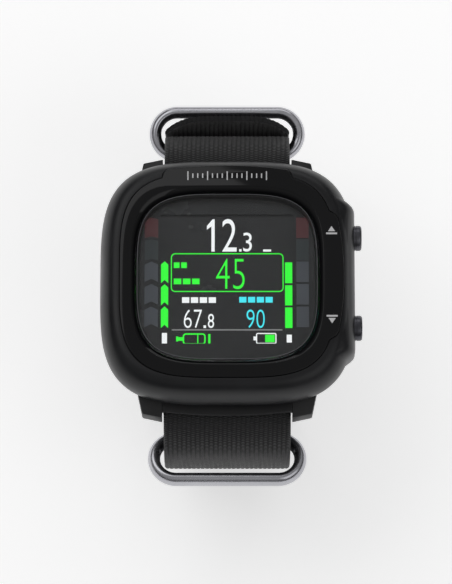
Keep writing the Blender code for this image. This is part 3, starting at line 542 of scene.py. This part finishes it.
def flat_mesh(name, loops, low, high, edge=0.0):
    """A filled outline with holes between two heights, with rounded edges."""
    curve = bpy.data.curves.new(name, "CURVE")
    curve.dimensions = "2D"
    curve.fill_mode = "BOTH"
    curve.extrude = (high - low) / 2 - edge
    curve.bevel_depth = edge
    curve.bevel_resolution = 3
    curve.offset = -edge
    for loop in loops:
        spline = curve.splines.new("POLY")
        spline.points.add(len(loop) - 1)
        for point, (x, y) in zip(spline.points, loop):
            point.co = (x, y, 0, 1)
        spline.use_cyclic_u = True
    return baked(name, curve, Matrix.Translation((0, 0, (low + high) / 2)))


def baked(name, data, matrix=None):
    """The welded mesh of a curve or text."""
    obj = linked(name, data)
    bpy.context.view_layer.update()
    evaluated = obj.evaluated_get(bpy.context.evaluated_depsgraph_get())
    mesh = bpy.data.meshes.new_from_object(evaluated)
    bpy.data.objects.remove(obj, do_unlink=True)
    bm = bmesh.new()
    bm.from_mesh(mesh)
    bmesh.ops.remove_doubles(bm, verts=bm.verts, dist=0.000002)
    bm.to_mesh(mesh)
    bm.free()
    if matrix:
        mesh.transform(matrix)
    return mesh


def cut(mesh, cutters, operation="DIFFERENCE"):
    """Boolean of a mesh with others."""
    obj = linked("cut", mesh)
    helpers = []
    for cutter in cutters:
        helper = linked("cutter", cutter)
        helpers.append(helper)
        mod = obj.modifiers.new("cut", "BOOLEAN")
        mod.operation = operation
        mod.object = helper
    bpy.context.view_layer.update()
    evaluated = obj.evaluated_get(bpy.context.evaluated_depsgraph_get())
    result = bpy.data.meshes.new_from_object(evaluated)
    for helper in helpers + [obj]:
        bpy.data.objects.remove(helper, do_unlink=True)
    return result


def merged(name, meshes):
    bm = bmesh.new()
    for mesh in meshes:
        bm.from_mesh(mesh)
    return mesh_of(bm, name)


def block(low, high, edge=0.0, segments=3):
    bm = bmesh.new()
    bmesh.ops.create_cube(bm, size=1.0)
    bmesh.ops.scale(bm, vec=[b - a for a, b in zip(low, high)], verts=bm.verts)
    bmesh.ops.translate(bm, vec=[(a + b) / 2 for a, b in zip(low, high)], verts=bm.verts)
    if edge:
        bmesh.ops.bevel(bm, geom=bm.edges[:], offset=edge, segments=segments, profile=0.5,
                        affect="EDGES", clamp_overlap=True)
    return mesh_from(bm, "block")


def cylinder(radius, start, end, sides=32):
    start = Vector(start)
    along = Vector(end) - start
    bm = bmesh.new()
    bmesh.ops.create_cone(bm, cap_ends=True, segments=sides, radius1=radius,
                          radius2=radius, depth=along.length)
    turn = Vector((0, 0, 1)).rotation_difference(along.normalized()).to_matrix().to_4x4()
    matrix = Matrix.Translation(start) @ turn @ Matrix.Translation((0, 0, along.length / 2))
    bmesh.ops.transform(bm, matrix=matrix, verts=bm.verts)
    return mesh_from(bm, "cylinder")


def turned(name, profile, place_at, steps=64):
    """A closed profile of (radius, along) pairs turned round the X axis."""
    sections = []
    for i in range(steps):
        turn = 2 * math.pi * i / steps
        sections.append([(along, r * math.cos(turn), r * math.sin(turn)) for r, along in profile])
    mesh = loft(name, sections, capped=False)
    bm = bmesh.new()
    bm.from_mesh(mesh)
    bmesh.ops.remove_doubles(bm, verts=bm.verts, dist=0.000001)
    bmesh.ops.dissolve_degenerate(bm, dist=0.000001, edges=bm.edges)
    bmesh.ops.recalc_face_normals(bm, faces=bm.faces)
    bm.to_mesh(mesh)
    bm.free()
    mesh.transform(Matrix.Translation(place_at))
    return mesh


def swept(name, path, radius, flatness=1.0, sides=28):
    """A closed ring of oval section along a flat closed path."""
    sections = []
    count = len(path)
    for i, point in enumerate(path):
        before = Vector(path[i - 1])
        after = Vector(path[(i + 1) % count])
        along = (after - before).normalized()
        out = Vector((along.y, -along.x, 0))
        ring = []
        for k in range(sides):
            turn = 2 * math.pi * k / sides
            ring.append(Vector(point) + out * radius * math.cos(turn)
                        + Vector((0, 0, radius * flatness * math.sin(turn))))
        sections.append(ring)
    return loft(name, sections, capped=False)


def stadium(half_x, half_y, radius, steps=28, straight_steps=6):
    straight = half_x - half_y
    bend = half_y - radius
    points = []
    for side in (1, -1):
        for i in range(steps + 1):
            turn = math.radians(-90 * side + 180 * i / steps)
            points.append((side * straight + bend * math.cos(turn), bend * math.sin(turn), 0))
        for i in range(1, straight_steps):
            points.append((side * straight * (1 - 2 * i / straight_steps), side * bend, 0))
    return points


def webbing(name, route, half, bow=None, spacing=0.8 * MM):
    """A ribbed band along a route in YZ, with cloth coordinates in ribs and rows."""
    points, step = resampled(route, spacing)
    ribs = round(2 * half / RIB_PITCH)
    samples = 4
    columns = ribs * samples
    rows = []
    for k in range(columns + 1):
        u = 2 * k / columns - 1
        crest = abs(math.sin(math.pi * k / samples))
        edge = (1 - abs(u) ** 40) ** 0.5
        thick = (WEB / 2 - RIB_RISE + RIB_RISE * crest) * max(edge, 0.45)
        rows.append((u, thick, k / samples))
    bm = bmesh.new()
    cloth = bm.loops.layers.uv.new("cloth")
    rings = []
    for i, point in enumerate(points):
        before = points[max(i - 1, 0)]
        after = points[min(i + 1, len(points) - 1)]
        along = (after - before).normalized()
        side = Vector((along.y, -along.x))
        rise = bow(i * step, point) if bow else 0.0
        ring = []
        for sign in (1, -1):
            for u, thick, _ in (rows if sign > 0 else reversed(rows)):
                spot = point + side * (sign * thick + rise * (1 - u ** 4))
                ring.append(bm.verts.new((u * half, spot.x, spot.y)))
        rings.append(ring)
    ribs_at = [r[2] for r in rows] + [r[2] for r in reversed(rows)]
    for i, (low, high) in enumerate(zip(rings, rings[1:])):
        count = len(low)
        for k in range(count):
            j = (k + 1) % count
            face = bm.faces.new((low[k], low[j], high[j], high[k]))
            for loop, across, along in zip(face.loops, (k, j, j, k), (i, i, i + 1, i + 1)):
                loop[cloth].uv = (ribs_at[across], along * step / ROW_LENGTH)
    width = len(rows)
    for ring, row in ((rings[0], 0), (rings[-1], len(points) - 1)):
        for k in range(width - 1):
            across_from = 2 * width - 2 - k
            face = bm.faces.new((ring[k], ring[k + 1], ring[across_from], ring[across_from + 1]))
            for loop, across in zip(face.loops, (k, k + 1, k + 1, k)):
                loop[cloth].uv = (ribs_at[across], row * step / ROW_LENGTH)
    return mesh_from(bm, name)


def local_frame(origin, along):
    """X stays X, Y runs along the buckle and Z points outwards from the loop."""
    out = Vector((-along.y, along.x))
    return Matrix(((1, 0, 0, 0),
                   (0, along.x, out.x, origin[0]),
                   (0, along.y, out.y, origin[1]),
                   (0, 0, 0, 1)))


# ---------------------------------------------------------------- case

def build_casing():
    """Bezel shell with its shouldered boss, open where the plate, lens and buttons sit."""
    count = 200
    sections = [level(PARTING_Z, FOOT_HALF, count, -0.25 * MM),
                level(PARTING_Z + 0.25 * MM, FOOT_HALF, count),
                level(PARTING_Z + 1.7 * MM, BEZEL_HALF, count, -0.3 * MM)]
    for i in range(19):
        turn = math.radians(5 * i)
        half = [rim + (wide - rim) * math.cos(turn) for wide, rim in zip(BEZEL_HALF, RIM_HALF)]
        sections.append(level(WIDEST_Z + (RIM_Z - WIDEST_Z) * math.sin(turn), half, count))
    body = loft("casing", sections)
    profile = [(24, 70.3), (34.7, 70.3), (35.15, 70.75), (35.15, 75.2), (35.1, 76.6), (34.9, 78.0),
               (34.5, 79.3), (33.9, 80.5), (33.1, 81.5), (32.1, 82.3), (30.9, 82.8), (24, 82.9)]
    boss_sections = []
    for y, inset in ((-22.6, 2.6), (-21.6, 1.3), (-20.8, 0.5), (-20.0, 0.12), (-19.0, 0.0),
                     (19.0, 0.0), (20.0, 0.12), (20.8, 0.5), (21.6, 1.3), (22.6, 2.6)):
        boss_sections.append([((x - inset if x > 25 else x) * MM, y * MM, z * MM) for x, z in profile])
    boss = loft("boss", boss_sections)
    body = cut(body, [boss], "UNION")
    recess = flat_mesh("recess", [plate_outline(RECESS_GAP)], PLATE_LOW_Z - 0.3 * MM, FACE_Z + MM)
    well = loft("well", [level(PARTING_Z + 2 * MM, WINDOW_LOW, 120, -0.3 * MM),
                         level(FACE_Z + MM, WINDOW_LOW, 120, -0.3 * MM)])
    hollow = loft("hollow", [level(PARTING_Z - MM, HOLLOW_HALF, 120),
                             level(HOLLOW_TOP_Z, HOLLOW_HALF, 120)])
    bores = []
    for sign in (1, -1):
        y = sign * BUTTON_Y
        bores.append(cylinder(BUTTON_BORE, (31 * MM, y, BUTTON_Z), (38 * MM, y, BUTTON_Z), 64))
    body = cut(body, [recess, well, hollow] + bores)
    place("casing_shell", body, looks["satin_black"],
          replaces=["bezel_casing"])


def build_face_plate():
    """Glossy ring with its sloped inner step, the lens and the lighter grey line at the lens edge, a
    painted highlight.
    """
    count = 200
    loops = [plate_outline(), superellipse(WINDOW_TOP, count)]
    top = flat_mesh("plate", loops, PLATE_LOW_Z, FACE_Z, 0.22 * MM)
    step = loft("step", [level(FACE_Z - 0.25 * MM, WINDOW_TOP, count, 0.25 * MM),
                         level(FACE_Z - 0.06 * MM, WINDOW_TOP, count, 0.12 * MM),
                         level(FACE_Z - 0.2 * MM, WINDOW_TOP, count, -0.15 * MM),
                         level(PLATE_LOW_Z + 0.35 * MM, WINDOW_LOW, count, 0.12 * MM),
                         level(PLATE_LOW_Z + 0.02 * MM, WINDOW_LOW, count, 0.02 * MM),
                         level(PLATE_LOW_Z + 0.02 * MM, WINDOW_TOP, count, 0.25 * MM)], capped=False)
    place("front_plate", merged("front_plate", [top, step]), looks["gloss_black"],
          replaces=["face_plate"])
    # A thin grey tube round the window's foot: the painted highlight of the lens edge.
    path = [(x, y, PLATE_LOW_Z - 0.12 * MM) for x, y in superellipse(WINDOW_LOW, 220, -0.12 * MM)]
    place("lens_edge_highlight_line", swept("lens_edge_highlight_line", path, 0.13 * MM, 1.0, 12), lens_edge_highlight)
    lens = loft("lens", [level(LENS_Z - 2.4 * MM, LENS_HALF, 160, -0.2 * MM),
                         level(LENS_Z - 2.2 * MM, LENS_HALF, 160),
                         level(LENS_Z - 0.25 * MM, LENS_HALF, 160),
                         level(LENS_Z, LENS_HALF, 160, -0.25 * MM)])
    place("lens_glass_pane", lens, lens_glass, replaces=["lens_window"])


def build_marks():
    """Button symbols on the lobe and a plain row of depth ticks on the tab."""
    top = FACE_Z + PRINT
    meshes = []
    x = 28.6 * MM
    for sign in (1, -1):
        y = sign * BUTTON_Y
        tip = y + sign * 0.95 * MM
        base = y - sign * 0.55 * MM
        arrow = [(x - 1.0 * MM, base), (x + 1.0 * MM, base), (x, tip)]
        meshes.append(flat_mesh("arrow", [arrow], FACE_Z, top))
        bar = base - sign * 0.6 * MM
        meshes.append(block((x - 1.5 * MM, bar - 0.25 * MM, FACE_Z), (x + 1.5 * MM, bar + 0.25 * MM, top)))
    row_y = 28.1 * MM
    for i in range(-8, 9):
        x = i * 1.35 * MM
        tall = (1.25 if i % 4 == 0 else 0.65) * MM
        meshes.append(block((x - 0.16 * MM, row_y - tall, FACE_Z), (x + 0.16 * MM, row_y + tall, top)))
    place("printed_symbols", merged("printed_symbols", meshes), print_grey)


def rebate(z, count, grow=0.0):
    """Rounded rectangle of the back opening, sampled in the directions of the housing's outline."""
    half_x = REBATE_HALF[0] + grow
    half_y = REBATE_HALF[1] + grow
    ring = []
    for x, y in superellipse(HOUSING_HALF, count):
        way = Vector((x, y)).normalized()
        reach = abs(way.x / half_x) ** REBATE_POWER + abs(way.y / half_y) ** REBATE_POWER
        size = reach ** (-1 / REBATE_POWER)
        ring.append((way.x * size, way.y * size, z))
    return ring


def build_housing():
    """Tub with its back opening and bores, the two hoods and the four lugs."""
    count = 160
    sections = [rebate(BACK_Z + 2.6 * MM, count), rebate(BACK_Z + 0.15 * MM, count),
                rebate(BACK_Z, count, 0.15 * MM),
                level(BACK_Z, (31.4 * MM, 28.7 * MM), count),
                level(BACK_Z + 0.2 * MM, (32.1 * MM, 29.3 * MM), count),
                level(BACK_Z + 0.9 * MM, (33.0 * MM, 30.15 * MM), count),
                level(BACK_Z + 1.9 * MM, HOUSING_HALF, count),
                level(HOUSING_TOP_Z - 0.2 * MM, HOUSING_HALF, count),
                level(HOUSING_TOP_Z, HOUSING_HALF, count, -0.2 * MM),
                level(HOUSING_TOP_Z, HOUSING_HALF, count, -HOUSING_WALL),
                level(BACK_Z + 3.4 * MM, HOUSING_HALF, count, -HOUSING_WALL)]
    sections.append([(x * 0.9, y * 0.9, z) for x, y, z in sections[-1]])
    sections.append(rebate(BACK_Z + 3.4 * MM, count))
    tub = loft("tub", sections, capped=False)
    low = BACK_Z - MM
    cutters = []
    for x in (-COVER_SCREW[0], COVER_SCREW[0]):
        for y in (-COVER_SCREW[1], COVER_SCREW[1]):
            cutters.append(cylinder(1.8 * MM, (x, y, low), (x, y, BACK_Z + 1.6 * MM)))
    cutters.append(cylinder(1.3 * MM, (27.6 * MM, 0, low), (27.6 * MM, 0, BACK_Z + 4 * MM)))
    for y in (-4 * MM, 4 * MM):
        cutters.append(cylinder(1.3 * MM, (-27.4 * MM, y, low), (-27.4 * MM, y, BACK_Z + 4 * MM)))
    tub = cut(tub, cutters)
    extra = []
    for sign in (1, -1):
        hood = []
        for i in range(25):
            u = 1 - i / 12
            hood.append((LUG_INNER_X * u, sign * (36.3 - 1.1 * u * u) * MM))
        for i in range(25):
            x = LUG_INNER_X * (i / 12 - 1)
            hood.append((x, sign * (superellipse_y(HOUSING_HALF, x) - 0.4 * MM)))
        extra.append(flat_mesh("hood", [hood], 68.7 * MM, 69.9 * MM, 0.35 * MM))
        for side in (1, -1):
            extra.append(lug_mesh(side, sign))
    place("housing_shell", merged("housing_shell", [tub] + extra), looks["housing_black"],
          replaces=["lower_housing"])


def lug_mesh(side, sign):
    """Wedge-shaped lug with a straight tip, rounded under the spring bar's end."""
    root_y = 27.5
    reach = 9.4
    outline = [(17.95, root_y), (24.9, root_y), (24.7, 29.6), (23.4, 35.6), (23.1, 35.85),
               (18.2, 36.9), (17.95, 36.9)]
    levels = [(63.3, -0.75), (63.5, -0.35), (64.0, -0.05), (64.4, 0.0), (69.5, 0.0),
              (69.75, -0.08), (69.9, -0.3)]
    sections = []
    for z, grow in levels:
        ring = []
        for x, y in outline:
            nose = (y - root_y) / reach
            out = 1.0 if x > 18.3 else 0.0
            ring.append((side * (x + grow * out) * MM, sign * (y + grow * nose) * MM, z * MM))
        sections.append(ring)
    return loft("lug", sections)


def coil_mesh(name, y, turns=2.5, steps=120, sides=10):
    """The return spring of one button: a round wire wound about the plunger."""
    sections = []
    for i in range(steps + 1):
        turn = 2 * math.pi * turns * i / steps
        radial = Vector((0, math.cos(turn), math.sin(turn)))
        along = Vector((COIL_LENGTH / (2 * math.pi * turns), -COIL_RADIUS * math.sin(turn),
                        COIL_RADIUS * math.cos(turn)))
        across = along.normalized().cross(radial)
        middle = Vector((COIL_START_X + COIL_LENGTH * i / steps, y, BUTTON_Z)) + radial * COIL_RADIUS
        ring = []
        for j in range(sides):
            k = 2 * math.pi * j / sides
            ring.append(middle + (radial * math.cos(k) + across * math.sin(k)) * COIL_WIRE)
        sections.append(ring)
    return loft(name + "_coil", sections)


def build_buttons():
    """Cap with its grooved rim and waisted stem, and the spring that its press shortens."""
    cap = [(0.00001, 0.12), (1.9, 0.12), (2.15, 0.02), (2.45, 0.0), (2.95, 0.03), (3.25, 0.16),
           (3.43, 0.4), (3.5, 0.75), (3.5, 1.5), (3.38, 1.56), (3.38, 1.8), (3.5, 1.86)]
    stem = [(3.5, 33.8), (1.15, 33.8), (1.15, 30.6), (0.75, 30.6), (0.75, 29.5), (1.15, 29.5),
            (1.15, 28.85), (0.8, 28.85), (0.8, 27.95), (1.15, 27.95), (1.15, 27.2), (0.95, 27.0),
            (0.00001, 27.0)]
    for name, sign in (("upper", 1), ("lower", -1)):
        spot = (0, sign * BUTTON_Y, BUTTON_Z)
        profile = [(r * MM, BUTTON_FACE_X - depth * MM) for r, depth in cap]
        profile += [(r * MM, x * MM) for r, x in stem]
        place(name + "_push_button", turned(name + "_push_button", profile, spot), looks["button_metal"],
              name + "_button", [name + "_button_plunger"])
        coil = place(name + "_return_coil", coil_mesh(name, sign * BUTTON_Y), looks["steel"],
                     replaces=[name + "_button_spring"], smooth_angle=60)
        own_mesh(coil)


# ---------------------------------------------------------------- display

def text_mesh(text, left, right, low, high, weight=0.0):
    """Digits fitted to a box on the display, in millimetres from its centre."""
    curve = bpy.data.curves.new("text", "FONT")
    curve.body = text
    curve.offset = weight
    curve.extrude = 0.02
    curve.resolution_u = 5
    mesh = baked("text", curve)
    xs = [v.co.x for v in mesh.vertices]
    ys = [v.co.y for v in mesh.vertices]
    zs = [v.co.z for v in mesh.vertices]
    scale = ((right - left) / (max(xs) - min(xs)), (high - low) / (max(ys) - min(ys)),
             0.05 / (max(zs) - min(zs)))
    for v in mesh.vertices:
        v.co = ((left + (v.co.x - min(xs)) * scale[0]) * MM,
                (low + (v.co.y - min(ys)) * scale[1]) * MM + SCREEN_Y,
                PANEL_Z + (v.co.z - min(zs)) * scale[2] * MM)
    return mesh


def glyph_mesh(points, left, right, low, high):
    """A flat shape given on a unit square, fitted to a box on the display."""
    outline = []
    for x, y in points:
        outline.append(((left + x * (right - left)) * MM, (low + y * (high - low)) * MM + SCREEN_Y))
    return flat_mesh("glyph", [outline], PANEL_Z, PANEL_Z + 0.05 * MM)


def label_blocks(left, right, low, high, count):
    """Plain blocks in a row where a label would stand."""
    gap = 0.45
    width = (right - left - gap * (count - 1)) / count
    starts = [left + i * (width + gap) for i in range(count)]
    return [bar_mesh(start, start + width, low, high) for start in starts]


def one_mesh(left, right, low, high):
    """The digit one as a plain stem with a flag."""
    points = [(0.58, 0), (0.58, 0.78), (0.0, 0.68), (0.0, 0.79), (0.72, 1), (1, 1), (1, 0)]
    return glyph_mesh(points, left, right, low, high)


def bar_mesh(left, right, low, high, z=None):
    """A plain rectangle on the display, or on the surface at height z."""
    base = PANEL_Z if z is None else z
    return block((left * MM, low * MM + SCREEN_Y, base), (right * MM, high * MM + SCREEN_Y, base + LIT))


def chevron_mesh(left, right, low, high, dip, z=None):
    """A bar whose top rises to a point and whose foot is notched to match."""
    base = PANEL_Z if z is None else z
    middle = (left + right) / 2
    outline = [(left, low), (middle, low + dip), (right, low),
               (right, high - dip), (middle, high), (left, high - dip)]
    outline = [(x * MM, y * MM + SCREEN_Y) for x, y in outline]
    return flat_mesh("chevron", [outline], base, base + LIT)


def frame_mesh(left, right, low, high, radius, line):
    """A rounded outline drawn with a line of even width."""
    loops = []
    for inset in (0.0, line):
        r = radius - inset
        loop = []
        corners = ((right - radius, high - radius), (left + radius, high - radius),
                   (left + radius, low + radius), (right - radius, low + radius))
        for quarter, (x, y) in enumerate(corners):
            for i in range(7):
                turn = math.radians(90 * quarter + 15 * i)
                loop.append(((x + r * math.cos(turn)) * MM, (y + r * math.sin(turn)) * MM + SCREEN_Y))
        loops.append(loop)
    return flat_mesh("outline", loops, PANEL_Z, PANEL_Z + LIT)


def build_readouts():
    """Digits, plain label blocks, and the tank and battery pictograms, by colour."""
    white = [one_mesh(-5.6, -3.45, 8.0, 17.2), text_mesh("2", -1.4, 2.6, 8.0, 17.3, weight=-0.004),
             bar_mesh(3.3, 3.95, 8.0, 8.7), text_mesh("3", 4.4, 6.8, 8.0, 13.4),
             bar_mesh(9.9, 12.1, 8.0, 8.6),
             text_mesh("67", -11.9, -6.9, -13.7, -8.5, weight=-0.012), bar_mesh(-6.5, -5.8, -13.7, -12.95),
             text_mesh("8", -5.3, -3.6, -13.7, -9.7),
             frame_mesh(7.9, 13.5, -18.2, -15.1, 0.5, 0.3), bar_mesh(7.2, 7.9, -17.2, -16.1)]
    white += label_blocks(-12.4, -3.1, -6.6, -5.0, 4) + label_blocks(-17.9, -16.5, -18.3, -15.1, 1)
    white += label_blocks(16.3, 17.7, -17.8, -15.6, 1)
    green = [frame_mesh(-15.5, 15.5, -3.5, 7.5, 1.2, 0.28),
             text_mesh("45", -3.1, 4.8, -2.7, 6.0, weight=-0.016),
             frame_mesh(-12.2, -5.9, -18.4, -15.2, 0.9, 0.4), bar_mesh(-13.4, -12.2, -17.3, -16.3),
             bar_mesh(-14.0, -13.4, -17.5, -16.1), bar_mesh(-8.2, -7.9, -18.2, -15.4),
             bar_mesh(-5.2, -4.6, -18.2, -15.4), bar_mesh(10.4, 13.0, -17.7, -15.6)]
    green += label_blocks(-14.7, -11.1, 3.3, 4.9, 2) + label_blocks(-14.7, -7.6, -1.3, 0.3, 3)
    for low, high in ((-1.0, 4.9), (-7.3, -1.6), (-13.7, -7.9)):
        green.append(bar_mesh(15.9, 17.9, low, high))
        green.append(chevron_mesh(-18.2, -16.2, low, high + 0.3, 0.9))
    cyan = [text_mesh("90", 5.3, 10.3, -13.7, -8.5, weight=-0.012)]
    cyan += label_blocks(3.3, 12.5, -6.5, -4.9, 4)
    line = [bar_mesh(-15.2, 15.1, -14.4, -14.05)]
    for piece, mat_name, meshes, color, strength in (
            ("readout_white", "lit_white", white, (0.95, 0.97, 0.97), 1.1),
            ("readout_green", "lit_green", green, (0.03, 1.0, 0.04), 1.1),
            ("readout_cyan", "lit_cyan", cyan, (0.06, 0.85, 0.95), 1.1),
            ("readout_line", "lit_grey", line, (0.3, 0.3, 0.3), 0.8)):
        place(piece, merged(piece, meshes), glow(mat_name, color, strength))


def build_side_segments():
    """The two columns of dim segments printed on the mask, with a faint painted glow."""
    rows = ((11.6, 17.4, "red"), (5.2, 11.3, "teal"), (-0.9, 4.9, "grey"), (-7.3, -1.5, "grey"),
            (-13.7, -7.9, "grey"))
    tones = {"red": (0.07, 0.016, 0.018), "teal": (0.018, 0.024, 0.026), "grey": (0.055, 0.062, 0.072)}
    groups = {tone: [] for tone in tones}
    for low, high, tone in rows:
        dip = 0.9 if tone == "grey" else 0.5
        groups[tone].append(chevron_mesh(-22.7, -19.0, low, high, dip, MASK_Z))
        groups[tone].append(bar_mesh(19.0, 22.4, low, high, MASK_Z))
    for tone, meshes in groups.items():
        color = tones[tone]
        mat = finish("segment_" + tone, color, 0.4, 0.0, 4000, 0.000004, (0.35, 0.5),
                     ([c * 0.85 for c in color], [c * 1.15 for c in color]))
        # Painted glow: the printed segments emit their own colour at half strength.
        place("side_segments_" + tone, merged(tone, meshes), lit(mat, color, 0.5))


# ---------------------------------------------------------------- strap and rings

def build_straps():
    """Main webbing with its slots and holes, the stitches of its sewn end, and the under-strap."""
    route = strap_route()
    total = sum((Vector(b) - Vector(a)).length for a, b in zip(route, route[1:]))

    def bow(along, point):
        """How far the middle of the folded tail stands out from its edges."""
        if total - along > TAIL_LENGTH:
            return 0.0
        return TAIL_BOW * max((point.y - TAIL_LIFT_Z) / TAIL_LIFT, 0.0) ** 2

    strap = webbing("strap", route, STRAP_HALF, bow)
    hinge = bend_point(HINGE_ANGLE, BEND + HINGE_WRAP)
    far = bend_point(math.radians(47), 27.4 * MM)
    place_at = local_frame(hinge, (Vector(far) - Vector(hinge)).normalized())
    slot = block((-1.5 * MM, 3.4 * MM, -1.4 * MM), (1.5 * MM, 9.8 * MM, 5 * MM))
    eye = block((-2.4 * MM, -2.2 * MM, -3.3 * MM), (2.4 * MM, 3.2 * MM, 2.95 * MM))
    slot.transform(place_at)
    eye.transform(place_at)
    holes = [cylinder(1.2 * MM, (0, y, -MM), (0, y, 3 * MM)) for y in (-6 * MM, 6 * MM, 18 * MM)]
    strap = cut(strap, [slot, eye] + holes)
    place("strap_webbing", strap, looks["webbing"], replaces=["webbing_strap"],
          smooth_angle=60)
    stitches = []
    for angle in (80.0, 83.5):
        middle = bend_point(math.radians(angle), BEND + LAYER + WEB / 2 - 0.06 * MM)
        for i in range(-7, 8):
            x = i * 2.2 * MM
            stitches.append(cylinder(0.2 * MM, (x - 0.8 * MM, *middle), (x + 0.8 * MM, *middle), 10))
    place("sewn_end_stitches", merged("sewn_end_stitches", stitches), thread)
    place("under_strap", webbing("under_strap", keeper_route(), KEEPER_HALF), looks["webbing"],
          replaces=["keeper_strap"], smooth_angle=60)


def build_rings():
    for name, body, y, sign in (("upper_ring", "upper_oval_ring", UPPER_RING_Y, 1),
                                ("lower_ring", "lower_oval_ring", LOWER_RING_Y, -1)):
        span = RING_HALF_Y - RING_RADIUS
        path = [(x, p + sign * span, 0) for x, p, _ in stadium(RING_HALF_X, RING_HALF_Y, RING_RADIUS)]
        ring = swept(name, path, RING_RADIUS, RING_FLATNESS)
        ring.transform(Matrix.Translation((0, y, RING_Z)) @ Matrix.Rotation(sign * RING_TILT, 4, "X"))
        place(name + "_steel", ring, looks["polished_steel"], body, [name])


def smooth_cad():
    """Carried-over parts get a finished material and smooth round faces."""
    slots = {s["node"]: s["material_slot"] for s in frame["record"]["subparts"]}
    for name, obj in nodes.items():
        mat = looks.get(slots.get(name))
        if mat and name != "lens_window":
            obj.data.materials.clear()
            obj.data.materials.append(mat)
        obj.data.shade_smooth()
        obj.data.set_sharp_from_angle(angle=math.radians(32))


# ---------------------------------------------------------------- stage

def staged(name, bm, mat, strength):
    """A piece of the studio that glows evenly."""
    mesh = mesh_of(bm, name)
    mesh.materials.append(lit(mat, (1, 1, 1), strength))
    return linked(name, mesh)


def build_stage():
    """Pale floor, and a pale backdrop that only the camera sees."""
    bm = bmesh.new()
    bmesh.ops.create_grid(bm, x_segments=1, y_segments=1, size=3.0)
    paint = finish("floor_paint", (0.9, 0.9, 0.9), 0.9, 0.0, 40, 0.00001, (0.85, 0.95),
                   ((0.89, 0.89, 0.89), (0.91, 0.91, 0.91)))
    floor = staged("floor", bm, paint, 0.47)

    bm = bmesh.new()
    bmesh.ops.create_uvsphere(bm, u_segments=48, v_segments=24, radius=2.9)
    cloth = finish("backdrop_cloth", (0.0, 0.0, 0.0), 0.9, 0.0, 40, 0.00001, (0.85, 0.95))
    backdrop = staged("backdrop", bm, cloth, 0.88)
    backdrop.visible_diffuse = False
    backdrop.visible_glossy = False
    backdrop.visible_transmission = False
    backdrop.visible_shadow = False


def build_world():
    """Even light from above that falls off to grey at the horizon."""
    bpy.context.scene.view_settings.view_transform = "Standard"
    world = bpy.data.worlds.new("studio")
    bpy.context.scene.world = world
    world.use_nodes = True
    tree = world.node_tree
    coords = tree.nodes.new("ShaderNodeTexCoord")
    split = tree.nodes.new("ShaderNodeSeparateXYZ")
    ramp = tree.nodes.new("ShaderNodeValToRGB")
    ramp.color_ramp.elements[0].position = 0.12
    ramp.color_ramp.elements[0].color = (0.12, 0.12, 0.125, 1)
    ramp.color_ramp.elements[1].position = 0.6
    ramp.color_ramp.elements[1].color = (1, 1, 1, 1)
    tree.links.new(coords.outputs["Generated"], split.inputs["Vector"])
    tree.links.new(split.outputs["Z"], ramp.inputs["Fac"])
    tree.links.new(ramp.outputs["Color"], tree.nodes["Background"].inputs["Color"])
    tree.nodes["Background"].inputs["Strength"].default_value = 0.38


def build_lights():
    aim_at = Vector((0, 0, 0.06))
    for name, spot, size, power in (("key", (-0.5, 0.45, 1.0), (0.9, 0.8), 2.3),
                                    ("fill", (0.6, -0.5, 0.8), (0.9, 0.7), 1.3),
                                    ("back", (0.1, 0.9, 0.5), (0.9, 0.5), 1.3)):
        light = bpy.data.lights.new(name, "AREA")
        light.shape = "RECTANGLE"
        light.size, light.size_y = size
        light.energy = power
        lamp = linked(name, light)
        lamp.location = spot
        aim = aim_at - Vector(spot)
        lamp.rotation_euler = aim.to_track_quat("-Z", "Y").to_euler()


def build_camera():
    """Above the 6 o'clock side, tilted a little from straight down."""
    tilt = math.radians(75.5)
    distance = 1.1
    target = Vector((-0.33 * MM, -3.4 * MM, 78 * MM))
    camera = bpy.data.cameras.new("camera")
    camera.lens = 247
    camera.sensor_width = 36
    holder = linked("camera", camera)
    holder.location = target + distance * Vector((0, -math.cos(tilt), math.sin(tilt)))
    holder.rotation_euler = (target - holder.location).to_track_quat("-Z", "Y").to_euler()
    bpy.context.scene.camera = holder


build_casing()
build_face_plate()
build_marks()
build_housing()
build_buttons()
build_readouts()
build_side_segments()
build_straps()
build_rings()
smooth_cad()
build_stage()
build_world()
build_lights()
build_camera()
